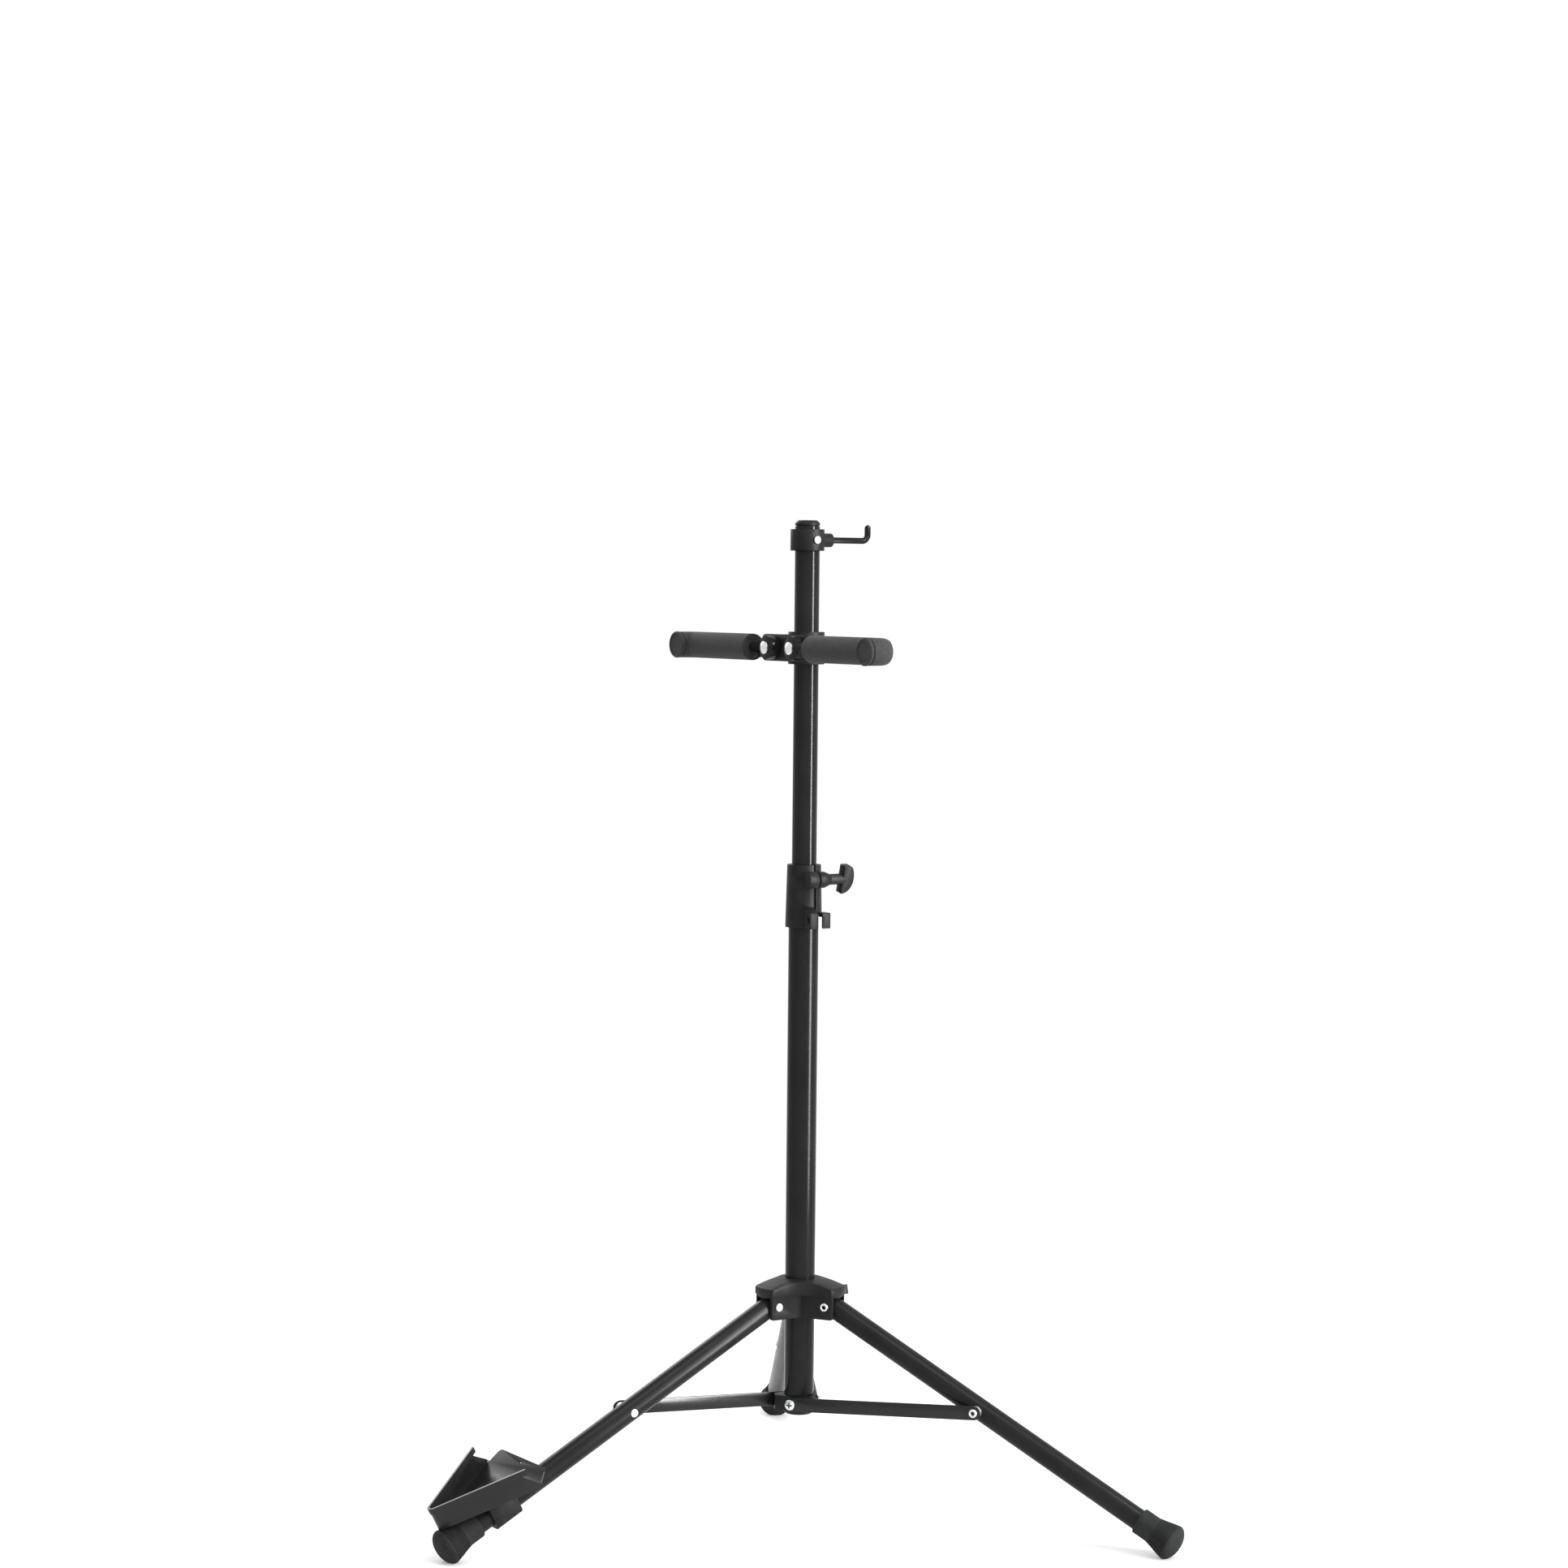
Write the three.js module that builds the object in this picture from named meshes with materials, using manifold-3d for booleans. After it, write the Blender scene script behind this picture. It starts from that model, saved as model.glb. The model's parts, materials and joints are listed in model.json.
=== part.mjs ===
// Folding tripod stand with two padded support arms and a hanging peg, in millimetres, +Z up.
// The leg with the tray points along -Y, the two support arms lie along X.
import * as THREE from 'three';
import { mergeVertices } from 'three/addons/utils/BufferGeometryUtils.js';
import Module from 'manifold-3d';

const wasm = await Module();
wasm.setup();

// Clearances
const gap = 0.3;
const overrun = 5;

// Mast: a main tube on the tripod and an inner tube that slides in it
const mainTubeDiameter = 28;
const mainTubeWall = 1.5;
const mainTubeLength = 467;
const innerTubeDiameter = 23.2;
const innerTubeWall = 1.5;
const innerTubeLength = 480;
const innerTubeOverlap = 130;
const guideLength = 18;
const guideSpigotLength = 16;
const capHeight = 5;
const capSpigotLength = 14;

// Tripod: the slope of the legs and where they turn
const legSlope = THREE.MathUtils.degToRad(27.9);
const legAzimuths = {
  front: THREE.MathUtils.degToRad(-90),
  right: THREE.MathUtils.degToRad(30),
  left: THREE.MathUtils.degToRad(150),
};
const legReach = 387;
const legTubeDiameter = 20;
const legTubeWall = 1.5;
const legTopOverhang = 7;
const hubPivotRadius = 32.3;
const linkPivotReach = 175;
const lowerPivotHeight = 100.5;

// Rubber feet, measured along the leg from the rim that meets the floor
const footRimDiameter = 34;
const footSleeveDiameter = 24.5;
const footSleeveLength = 18;
const footFlareLength = 16;
const footDomeLength = 9.5;
const footWall = 4;
const footFlatDepth = 0.5;

// Cross links between the legs and the bottom fitting
const linkHeight = 13;
const linkThickness = 2.5;
const linkPlaneOffset = 16.6;
const pinDiameter = 6;
const rivetHeadDiameter = 7.5;
const rivetHeadHeight = 1.4;
const eyeletHeadDiameter = 7.8;
const eyeletHeadHeight = 1.2;
const eyeletBoreDiameter = 3.6;
const eyeletShankDiameter = 5;
const spacerDiameter = 11;
const linkScrewHeadDiameter = 10;
const linkScrewHeadHeight = 3;
const linkScrewDiameter = 5;
const linkScrewDepth = 9;
const crossRecessWidth = 1.3;
const crossRecessLength = 5.6;
const crossRecessDepth = 1.6;

// Bottom fitting under the main tube
const lowerHubFaceOffset = 15;
const lowerHubCornerRadius = 23;
const lowerHubShoulder = 7.2;
const lowerHubDrop = 6.5;
const lowerHubDiscHeight = 4;
const lowerHubDiscDiameter = 29;
const lowerHubSpigotLength = 30;

// Sliding leg hub
const hubSlotClearance = 1.3;
const hubWall = 3.7;
const hubLip = 1.2;
const hubArmEndRadius = 43.5;
const hubWaistRadius = 30;
const hubDomeRadius = 120;
const hubDomeTop = 23.8;
const hubRimRadius = 3;
const hubBandBottom = 9.9;
const hubSkirtDrop = 12;
const hubSkirtCorner = 6;
const hubSlotWall = 3;
const hubBossDiameter = 15;
const hubBossReach = 28;
const hubScrewHeight = 6.1;

// Wing knobs, alike on the hub and on the height clamp, each on a steel stud
const wingHeight = 27;
const wingDepth = 12;
const wingShoulder = 6.5;
const wingThickness = 9;
const wingNeckDiameter = 10.2;
const collarWingNeckLength = 13.6;
const collarWingTilt = THREE.MathUtils.degToRad(15);
const hubWingNeckLength = 9.7;
const hubWingTilt = THREE.MathUtils.degToRad(75);
const studDiameter = 6;
const studSeatDepth = 10;
const studOverhang = 2;
const studChamfer = 1;
const wingNutWidth = 10;
const wingNutThickness = 4;

// Height clamp on top of the main tube
const collarHeight = 58.5;
const collarSeatDepth = 24.5;
const collarTopDiameter = 31.8;
const collarBottomDiameter = 34.6;
const collarSlit = 1.8;
const collarSlitOffset = 1.7;
const collarBossDiameter = 15.5;
const collarBossOffset = 18.2;
const collarBossFront = 9.5;
const collarBossBack = 9.4;
const collarBossTaper = 5.7;
const collarBossTipDiameter = 11.2;
const collarBossTopDistance = 13.4;
const collarEarReach = 26;
const collarEarHeight = 14.5;
const collarEarRise = 6.5;
const collarEarThickness = 8.7;
const collarEarGap = 4.7;
const collarEarCorner = 4;
const collarEarSlant = THREE.MathUtils.degToRad(30);
const collarEarFoot = 10;
const collarStepHeight = 10.8;
const collarStepReach = 1.5;
const collarScrewDiameter = 3;
const collarScrewLength = 6;
const collarScrewHeadDiameter = 6;
const collarScrewHeadHeight = 1.8;
const collarScrewOffset = 20.2;
const collarScrewHeight = 7.5;

// Tray on the front leg, measured up the leg from the foot's rim
const trayFootDistance = 88.5;
const trayLength = 92.7;
const trayFloorLift = 17.7;
const trayWallHeight = 22.8;
const traySheet = 1.5;
const trayApexFillet = 5;
const trayHalfAngle = THREE.MathUtils.degToRad(30);
const trayHemHeight = 5.5;
const trayHemDepth = 0.8;
const trayEndNotchReach = 13.5;
const trayEndTopReach = 8.3;
const trayFlapLength = 15;
const trayFlapAngle = THREE.MathUtils.degToRad(27);
const trayFlapWidth = 95;
const trayFlapInset = 6.5;
const trayFlapFillet = 7;
const trayFlapHoleDiameter = 3;
const trayFlapHoleReach = 10.5;
const saddleFootDistance = 74.5;
const saddleLength = 28.5;
const saddleWidth = 25.6;
const saddleDepth = 12;
const saddleCorner = 5;
const saddleBoltInset = 8.5;
const saddleBoltLift = 13.2;
const saddleBoltDiameter = 4;
const saddleBoltHeadDiameter = 7.5;
const saddleBoltHeadHeight = 2.6;
const saddleNutWidth = 7;
const saddleNutThickness = 3;
const trayScrewInset = 20.5;
const trayScrewSpacing = 18;
const trayScrewDiameter = 3.5;
const trayScrewHeadDiameter = 6.5;
const trayScrewHeadHeight = 1.5;
const trayScrewLength = 7;

// Head on the inner tube that carries the two folding support arms
const headDrop = 113.5;
const headHeight = 30;
const headBarrelDiameter = 34;
const headPlateWidth = 88;
const headPlateHeight = 25;
const headPlateThickness = 5;
const headPlateCorner = 8;
const headBoltDiameter = 5;
const headBoltHeadDiameter = 9;
const headBoltHeadHeight = 3.4;
const headNutWidth = 8;
const headNutThickness = 4;
const armPlaneOffset = 27;
const armPivotSpacing = 42;
const armRodDiameter = 10;
const armEyeDiameter = 22;
const armBoltDiameter = 6;
const armBoltHeadDiameter = 12;
const armBoltHeadHeight = 4;
const armNutWidth = 10;
const armNutThickness = 4;
const armStopDistance = 13;
const armStopWidth = 8;
const armStopThickness = 4;

// Foam sleeves on the arms: along X, round an elbow and forward to a lipped end
const padSpan = 318;
const padDiameter = 25;
const padStart = 50;
const padBendRadius = 13;
const padForward = 45;
const padEndWall = 4;
const padLipWidth = 2.5;
const padLipDepth = 1;

// Hanging peg behind the top of the inner tube
const pegClipDrop = 13;
const pegClipHeight = 20;
const pegClipWall = 4;
const pegBossDiameter = 13;
const pegBossReach = 26;
const pegSeatDepth = 9;
const pegDiameter = 6;
const pegReach = 68;
const pegTipRise = 12;
const pegBendRadius = 6;
const pegScrewDiameter = 4;
const pegScrewHeadDiameter = 7.5;
const pegScrewHeadHeight = 2.6;

// How finely round shapes are cut
const tubeSides = 24;
const legSides = 20;
const pinSides = 10;
const domeSides = 24;
const waistSides = 36;
const arcSteps = 6;
const hexSides = 6;

// Places worked out from the sizes above
const mainTubeRadius = mainTubeDiameter / 2;
const mainTubeBore = mainTubeRadius - mainTubeWall;
const innerTubeRadius = innerTubeDiameter / 2;
const innerTubeBore = innerTubeRadius - innerTubeWall;
const legRadius = legTubeDiameter / 2;
const legBore = legRadius - legTubeWall;
const footRimRadius = footRimDiameter / 2;
const hubPivotHeight = legReach * Math.sin(legSlope) + footRimRadius * Math.cos(legSlope) - footFlatDepth;
const linkPivotRadius = hubPivotRadius + linkPivotReach * Math.cos(legSlope);
const linkPivotHeight = hubPivotHeight - linkPivotReach * Math.sin(legSlope);
const linkLength = Math.hypot(linkPivotRadius, linkPivotHeight - lowerPivotHeight);
const linkSlope = Math.atan2(linkPivotHeight - lowerPivotHeight, linkPivotRadius);
const linkInnerFace = linkPlaneOffset - linkThickness / 2;
const linkOuterFace = linkPlaneOffset + linkThickness / 2;
const mainTubeBottom = lowerPivotHeight + lowerHubShoulder + gap;
const mainTubeTop = mainTubeBottom + mainTubeLength;
const collarBottom = mainTubeTop - collarSeatDepth;
const collarTop = collarBottom + collarHeight;
const innerTubeBottom = mainTubeTop - innerTubeOverlap;
const innerTubeTop = innerTubeBottom + innerTubeLength;
const headCentre = innerTubeTop - headDrop;
const pegHeight = innerTubeTop - pegClipDrop;
const armPivotOffset = armPivotSpacing / 2;
const trayBaseReach = legReach - trayFootDistance;
const trayApexReach = trayBaseReach + trayLength;
const saddleReach = legReach - saddleFootDistance;
const studRadius = studDiameter / 2;

// Finishes: colour, roughness and metalness of each kind of surface
const finishes = {
  paintedSteel: { color: 0x2f3032, roughness: 0.38, metalness: 0.35 },
  plastic: { color: 0x2b2b2d, roughness: 0.55, metalness: 0 },
  rubber: { color: 0x3a3c3b, roughness: 0.85, metalness: 0 },
  foam: { color: 0x46484a, roughness: 0.95, metalness: 0 },
  zinc: { color: 0xd4d6d8, roughness: 0.28, metalness: 1 },
};

function addPiece(parent, name, geometry, finish) {
  const mesh = new THREE.Mesh(geometry, new THREE.MeshStandardMaterial(finishes[finish]));
  mesh.name = name;
  parent.add(mesh);
  return mesh;
}

// Solids from closed geometries, and back
function solidOf(geometry) {
  const bare = geometry.clone();
  bare.deleteAttribute('normal');
  bare.deleteAttribute('uv');
  const merged = mergeVertices(bare);
  const index = merged.index.array;
  const kept = [];
  for (let i = 0; i < index.length; i += 3) {
    const [a, b, c] = [index[i], index[i + 1], index[i + 2]];
    if (a !== b && b !== c && c !== a) kept.push(a, b, c);
  }
  return new wasm.Manifold(new wasm.Mesh({
    numProp: 3,
    vertProperties: new Float32Array(merged.attributes.position.array),
    triVerts: new Uint32Array(kept),
  }));
}

function geometryOf(solid) {
  const mesh = solid.getMesh();
  const geometry = new THREE.BufferGeometry();
  geometry.setAttribute('position', new THREE.BufferAttribute(new Float32Array(mesh.vertProperties), 3));
  geometry.setIndex(new THREE.BufferAttribute(new Uint32Array(mesh.triVerts), 1));
  geometry.computeVertexNormals();
  return geometry;
}

function join(...geometries) {
  return geometryOf(geometries.map(solidOf).reduce((whole, next) => whole.add(next)));
}

function cut(geometry, ...tools) {
  return geometryOf(tools.map(solidOf).reduce((whole, tool) => whole.subtract(tool), solidOf(geometry)));
}

function overlapOf(first, second) {
  return geometryOf(solidOf(first).intersect(solidOf(second)));
}

// A profile of [radius, height] points, up the outside and back down the inside, turned about Z
function revolve(profile, sides) {
  const closed = profile[0][0] > 0 ? [...profile, profile[0]] : profile;
  const points = closed.map(([radius, height]) => new THREE.Vector2(radius, height));
  return new THREE.LatheGeometry(points, sides).rotateX(Math.PI / 2);
}

function rod(radius, bottom, top, sides) {
  return revolve([[0, bottom], [radius, bottom], [radius, top], [0, top]], sides);
}

function pipe(outer, inner, bottom, top, sides) {
  return revolve([[inner, bottom], [outer, bottom], [outer, top], [inner, top]], sides);
}

// The same shapes laid along X or Y instead of Z
function alongX(geometry) {
  return geometry.rotateY(Math.PI / 2);
}

function alongY(geometry) {
  return geometry.rotateX(-Math.PI / 2);
}

function box(x0, x1, y0, y1, z0, z1) {
  const geometry = new THREE.BoxGeometry(x1 - x0, y1 - y0, z1 - z0);
  return geometry.translate((x0 + x1) / 2, (y0 + y1) / 2, (z0 + z1) / 2);
}

// A flat outline in X and Y, raised from bottom to top
function slab(shape, bottom, top) {
  const options = { depth: top - bottom, bevelEnabled: false, curveSegments: arcSteps };
  return new THREE.ExtrudeGeometry(shape, options).translate(0, 0, bottom);
}

// An outline drawn in X and Z, given its thickness along Y
function upright(shape, front, back) {
  return slab(shape, -back, -front).rotateX(Math.PI / 2);
}

function polygon(points) {
  return new THREE.Shape(points.map(([x, y]) => new THREE.Vector2(x, y)));
}

// A polygon whose corners are rounded, each point being [x, y, radius]
function roundedPolygon(points) {
  const shape = new THREE.Shape();
  const count = points.length;
  points.forEach(([x, y, radius], i) => {
    const corner = new THREE.Vector2(x, y);
    const before = new THREE.Vector2(...points[(i + count - 1) % count]).sub(corner).normalize();
    const after = new THREE.Vector2(...points[(i + 1) % count]).sub(corner).normalize();
    const half = before.angleTo(after) / 2;
    const run = radius / Math.tan(half);
    const start = before.clone().multiplyScalar(run).add(corner);
    const middle = before.clone().add(after).normalize().multiplyScalar(radius / Math.sin(half)).add(corner);
    const end = after.clone().multiplyScalar(run).add(corner);
    if (i === 0) shape.moveTo(start.x, start.y);
    else shape.lineTo(start.x, start.y);
    if (radius > 0) {
      const from = Math.atan2(start.y - middle.y, start.x - middle.x);
      const to = Math.atan2(end.y - middle.y, end.x - middle.x);
      shape.absarc(middle.x, middle.y, radius, from, to, false);
    }
  });
  shape.closePath();
  return shape;
}

function barShape(length, height) {
  const radius = height / 2;
  const shape = new THREE.Shape();
  shape.absarc(length, 0, radius, -Math.PI / 2, Math.PI / 2, false);
  shape.absarc(0, 0, radius, Math.PI / 2, 3 * Math.PI / 2, false);
  shape.closePath();
  return shape;
}

function roundHole(x, y, diameter) {
  return new THREE.Path().absarc(x, y, diameter / 2, 0, 2 * Math.PI, true);
}

// A copy reflected to the other side of the YZ plane, with its faces turned outwards again
function mirrorAcrossX(geometry) {
  const copy = geometry.toNonIndexed().scale(-1, 1, 1);
  const places = copy.attributes.position;
  for (let i = 0; i < places.count; i += 3) {
    const second = [places.getX(i + 1), places.getY(i + 1), places.getZ(i + 1)];
    places.setXYZ(i + 1, places.getX(i + 2), places.getY(i + 2), places.getZ(i + 2));
    places.setXYZ(i + 2, ...second);
  }
  return geometryOf(solidOf(copy));
}

// A low round head seated on the plane at zero and rising along Z
function domeHead(diameter, height, sides) {
  const radius = diameter / 2;
  const profile = [[0, 0], [radius, 0], [radius, height / 2]];
  const ballRadius = (radius * radius + height * height / 4) / height;
  const steps = 2;
  for (let i = 1; i <= steps; i += 1) {
    const share = 1 - i / steps;
    const reach = radius * share;
    profile.push([reach, height - ballRadius + Math.sqrt(ballRadius * ballRadius - reach * reach)]);
  }
  return revolve(profile, sides);
}

// A pan head screw along Z: the head rises from zero, the shank goes down from it
function panScrew(diameter, length, headDiameter, headHeight) {
  const shank = rod(diameter / 2, -length, headHeight / 2, pinSides);
  return join(domeHead(headDiameter, headHeight, pinSides), shank);
}

function hexNut(width, thickness, boreDiameter) {
  const cornerRadius = width / 2 / Math.cos(Math.PI / hexSides);
  const bore = rod(boreDiameter / 2, -overrun, thickness + overrun, pinSides);
  return cut(rod(cornerRadius, 0, thickness, hexSides), bore);
}

// A wing knob along +Y from zero: a round neck, then a flat wing with one square shoulder
function wingKnob(neckLength, tilt) {
  const neck = rod(wingNeckDiameter / 2, 0, neckLength + wingDepth / 3, pinSides);
  const half = wingHeight / 2;
  const shape = new THREE.Shape();
  shape.moveTo(-half, neckLength);
  shape.lineTo(half, neckLength);
  shape.absellipse(0, neckLength, half, wingDepth, 0, Math.PI / 2, false, 0);
  const shoulderEnd = neckLength + wingShoulder;
  shape.absellipse(0, shoulderEnd, half, wingDepth - wingShoulder, Math.PI / 2, Math.PI, false, 0);
  shape.closePath();
  const wing = upright(shape, -wingThickness / 2, wingThickness / 2);
  const seat = rod(studRadius + gap, -overrun, studSeatDepth + gap, pinSides);
  return alongY(cut(join(neck, wing), seat).rotateZ(Math.PI / 2 + tilt));
}

// A steel stud along +Y whose outer end sits in a wing knob that starts at the given place
function knobStud(start, knobStart) {
  const end = knobStart + studSeatDepth;
  return alongY(revolve([
    [0, start],
    [studRadius - studChamfer, start],
    [studRadius, start + studChamfer],
    [studRadius, end],
    [0, end],
  ], pinSides));
}

// A round bar bent in one plane: straight along X, a quarter bend towards -Y, then straight
class ElbowCurve extends THREE.Curve {
  constructor(start, turn, bendRadius, end) {
    super();
    this.start = start;
    this.turn = turn;
    this.bendRadius = bendRadius;
    this.end = end;
  }

  angleAt(share) {
    const step = share * (arcSteps + 2) - 1;
    return THREE.MathUtils.clamp(step / arcSteps, 0, 1) * Math.PI / 2;
  }

  getPointAt(share, target = new THREE.Vector3()) {
    const step = share * (arcSteps + 2);
    const bendStart = this.turn - this.bendRadius;
    if (step < 1) return target.set(THREE.MathUtils.lerp(this.start, bendStart, step), 0, 0);
    if (step > arcSteps + 1) {
      return target.set(this.turn, -THREE.MathUtils.lerp(this.bendRadius, this.end, step - arcSteps - 1), 0);
    }
    const angle = this.angleAt(share);
    const drop = this.bendRadius * (1 - Math.cos(angle));
    return target.set(bendStart + this.bendRadius * Math.sin(angle), -drop, 0);
  }

  getTangentAt(share, target = new THREE.Vector3()) {
    const angle = this.angleAt(share);
    return target.set(Math.cos(angle), -Math.sin(angle), 0);
  }
}

function bentBar(radius, sides, start, turn, bendRadius, end) {
  const section = new THREE.Shape();
  for (let i = 0; i < sides; i += 1) {
    const angle = (2 * Math.PI * i) / sides;
    const corner = [radius * Math.cos(angle), radius * Math.sin(angle)];
    if (i === 0) section.moveTo(...corner);
    else section.lineTo(...corner);
  }
  section.closePath();
  const path = new ElbowCurve(start, turn, bendRadius, end);
  return new THREE.ExtrudeGeometry(section, { steps: arcSteps + 2, extrudePath: path });
}

const stand = new THREE.Group();

// Mast

function buildMainTube() {
  const tube = pipe(mainTubeRadius, mainTubeBore, mainTubeBottom, mainTubeTop, tubeSides);
  addPiece(stand, 'main_tube', tube, 'paintedSteel');
}

function buildInnerTube() {
  const tube = pipe(innerTubeRadius, innerTubeBore, innerTubeBottom, innerTubeTop, tubeSides);
  const boltHole = alongX(rod(headBoltDiameter / 2 + gap, -mainTubeRadius, mainTubeRadius, pinSides));
  boltHole.translate(0, 0, headCentre);
  addPiece(stand, 'inner_tube', cut(tube, boltHole), 'paintedSteel');

  const spigot = innerTubeBore - gap;
  const guideTop = innerTubeBottom - gap;
  const guide = revolve([
    [0, guideTop - guideLength],
    [mainTubeBore - gap, guideTop - guideLength],
    [mainTubeBore - gap, guideTop],
    [spigot, guideTop],
    [spigot, guideTop + guideSpigotLength],
    [0, guideTop + guideSpigotLength],
  ], tubeSides);
  addPiece(stand, 'inner_tube_guide', guide, 'plastic');

  const capBottom = innerTubeTop + gap;
  const cap = revolve([
    [0, capBottom - capSpigotLength],
    [spigot, capBottom - capSpigotLength],
    [spigot, capBottom],
    [innerTubeRadius, capBottom],
    [innerTubeRadius, capBottom + capHeight / 2],
    [innerTubeRadius - capHeight / 2, capBottom + capHeight],
    [0, capBottom + capHeight],
  ], tubeSides);
  addPiece(stand, 'inner_tube_cap', cap, 'plastic');
}

// Height clamp: a split collar with a stepped lower edge, two lugs, and a wing screw with a hidden nut

function collarLugs() {
  const lugRoot = mainTubeRadius + gap;
  const lugTop = collarBottom + collarEarHeight;
  const frontEnd = collarSlitOffset - collarEarGap / 2;
  const backStart = collarSlitOffset + collarEarGap / 2;
  const backEnd = backStart + collarEarThickness;
  const side = roundedPolygon([
    [lugRoot, collarBottom, 0],
    [collarEarReach, collarBottom, 0],
    [collarEarReach, lugTop, collarEarCorner],
    [lugRoot, lugTop + collarEarRise, 0],
  ]);
  const front = upright(side, frontEnd - collarEarThickness, frontEnd);
  const step = collarBottom + collarStepHeight;
  const slantStart = collarEarReach - collarEarFoot;
  const plan = polygon([
    [slantStart, backStart + collarEarFoot * Math.tan(collarEarSlant)],
    [collarEarReach, backStart],
    [collarEarReach, backEnd],
    [slantStart, backEnd],
  ]);
  const hanging = slab(plan, collarBottom - overrun, lugTop);
  const root = box(0, collarEarReach, backStart, backEnd, step, lugTop);
  const back = overlapOf(join(hanging, root), upright(side, backStart - overrun, backEnd));
  return { front, back };
}

function buildHeightClamp() {
  const seatTop = mainTubeTop + gap;
  const shell = revolve([
    [mainTubeRadius + gap, collarBottom],
    [collarBottomDiameter / 2, collarBottom],
    [collarTopDiameter / 2, collarTop],
    [innerTubeRadius + gap, collarTop],
    [innerTubeRadius + gap, seatTop],
    [mainTubeRadius + gap, seatTop],
  ], tubeSides);
  const bossHeight = collarTop - collarBossTopDistance;
  const bossRadius = collarBossDiameter / 2;
  const bossEnd = collarBossBack + collarBossTaper;
  const boss = alongY(revolve([
    [0, -collarBossFront],
    [bossRadius, -collarBossFront],
    [bossRadius, collarBossBack],
    [collarBossTipDiameter / 2, bossEnd],
    [0, bossEnd],
  ], legSides)).translate(collarBossOffset, 0, bossHeight);
  const step = collarBottom + collarStepHeight;
  const reach = collarBossOffset + collarBossDiameter;
  const stepStart = collarSlitOffset - collarEarGap / 2;
  const belowStep = box(-collarStepReach, reach, stepStart, reach, collarBottom - overrun, step);
  const slitFront = collarSlitOffset - collarSlit / 2;
  const slitBack = collarSlitOffset + collarSlit / 2;
  const slit = box(0, reach, slitFront, slitBack, step - overrun, collarTop + overrun);
  const bore = rod(mainTubeRadius + gap, collarBottom - overrun, seatTop, tubeSides);
  const upperBore = rod(innerTubeRadius + gap, seatTop - overrun, collarTop + overrun, tubeSides);

  const nutEnd = slitFront - gap;
  const nutStart = nutEnd - wingNutThickness;
  const studStart = nutStart - studOverhang;
  const pocketRadius = (wingNutWidth / 2 + gap) / Math.cos(Math.PI / hexSides);
  const pocket = rod(pocketRadius, nutStart - gap, collarSlitOffset, hexSides);
  const stemHole = rod(studRadius + gap, studStart - gap, bossEnd + overrun, pinSides);
  const wingHole = alongY(join(pocket, stemHole)).translate(collarBossOffset, 0, bossHeight);

  const lugFace = stepStart - collarEarThickness;
  const screwHole = alongY(rod(collarScrewDiameter / 2 + gap, lugFace - overrun,
    lugFace + collarScrewLength + gap, pinSides));
  const screwHeight = collarBottom + collarScrewHeight;
  screwHole.translate(collarScrewOffset, 0, screwHeight);

  const lugs = collarLugs();
  const body = cut(join(shell, boss), belowStep);
  const collar = cut(join(body, lugs.front, lugs.back), bore, upperBore, slit, wingHole, screwHole);
  addPiece(stand, 'height_collar', collar, 'plastic');

  const knobStart = bossEnd + gap;
  const knob = wingKnob(collarWingNeckLength, collarWingTilt);
  addPiece(stand, 'height_knob', knob.translate(collarBossOffset, knobStart, bossHeight), 'plastic');
  const stud = knobStud(studStart, knobStart);
  addPiece(stand, 'height_stud', stud.translate(collarBossOffset, 0, bossHeight), 'zinc');
  const nut = alongY(hexNut(wingNutWidth, wingNutThickness, studDiameter + 2 * gap));
  addPiece(stand, 'height_nut', nut.translate(collarBossOffset, nutStart, bossHeight), 'zinc');

  const screw = panScrew(collarScrewDiameter, collarScrewLength, collarScrewHeadDiameter,
    collarScrewHeadHeight);
  screw.rotateX(Math.PI / 2).translate(collarScrewOffset, lugFace - gap, screwHeight);
  addPiece(stand, 'collar_screw', screw, 'paintedSteel');
}

// Bottom fitting: a spigot in the main tube, three flat faces for the links and a round foot

function turned(geometry, angle) {
  return geometry.clone().rotateZ(angle);
}

function buildLowerHub() {
  const top = lowerPivotHeight + lowerHubShoulder;
  const bottom = lowerPivotHeight - lowerHubDrop;
  const body = rod(lowerHubCornerRadius, bottom, top, tubeSides);
  const disc = revolve([
    [0, bottom - lowerHubDiscHeight],
    [lowerHubDiscDiameter / 2 - lowerHubDiscHeight / 2, bottom - lowerHubDiscHeight],
    [lowerHubDiscDiameter / 2, bottom - lowerHubDiscHeight / 2],
    [lowerHubDiscDiameter / 2, bottom + overrun],
    [0, bottom + overrun],
  ], tubeSides);
  const spigot = rod(mainTubeBore - gap, bottom, top + lowerHubSpigotLength, tubeSides);
  const flat = box(-lowerHubCornerRadius, lowerHubCornerRadius,
    -2 * lowerHubCornerRadius, -lowerHubFaceOffset,
    bottom - lowerHubDiscHeight - overrun, top + overrun);
  const screwHole = alongY(rod(linkScrewDiameter / 2 + gap, -lowerHubFaceOffset - overrun,
    -lowerHubFaceOffset + linkScrewDepth + gap, pinSides)).translate(0, 0, lowerPivotHeight);
  const azimuths = Object.values(legAzimuths);
  const cutters = azimuths.flatMap((azimuth) => [turned(flat, azimuth), turned(screwHole, azimuth)]);
  addPiece(stand, 'lower_hub', cut(join(body, disc, spigot), ...cutters), 'plastic');
}

// Leg hub: three arms under one dome, each with a slot for a leg, sliding on the main tube

function hubArmShape(width, endRadius) {
  const half = width / 2;
  const angle = Math.asin(half / endRadius);
  const shape = new THREE.Shape();
  shape.moveTo(0, -half);
  shape.lineTo(endRadius * Math.cos(angle), -half);
  shape.absarc(0, 0, endRadius, -angle, angle, false);
  shape.lineTo(0, half);
  shape.closePath();
  return shape;
}

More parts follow.
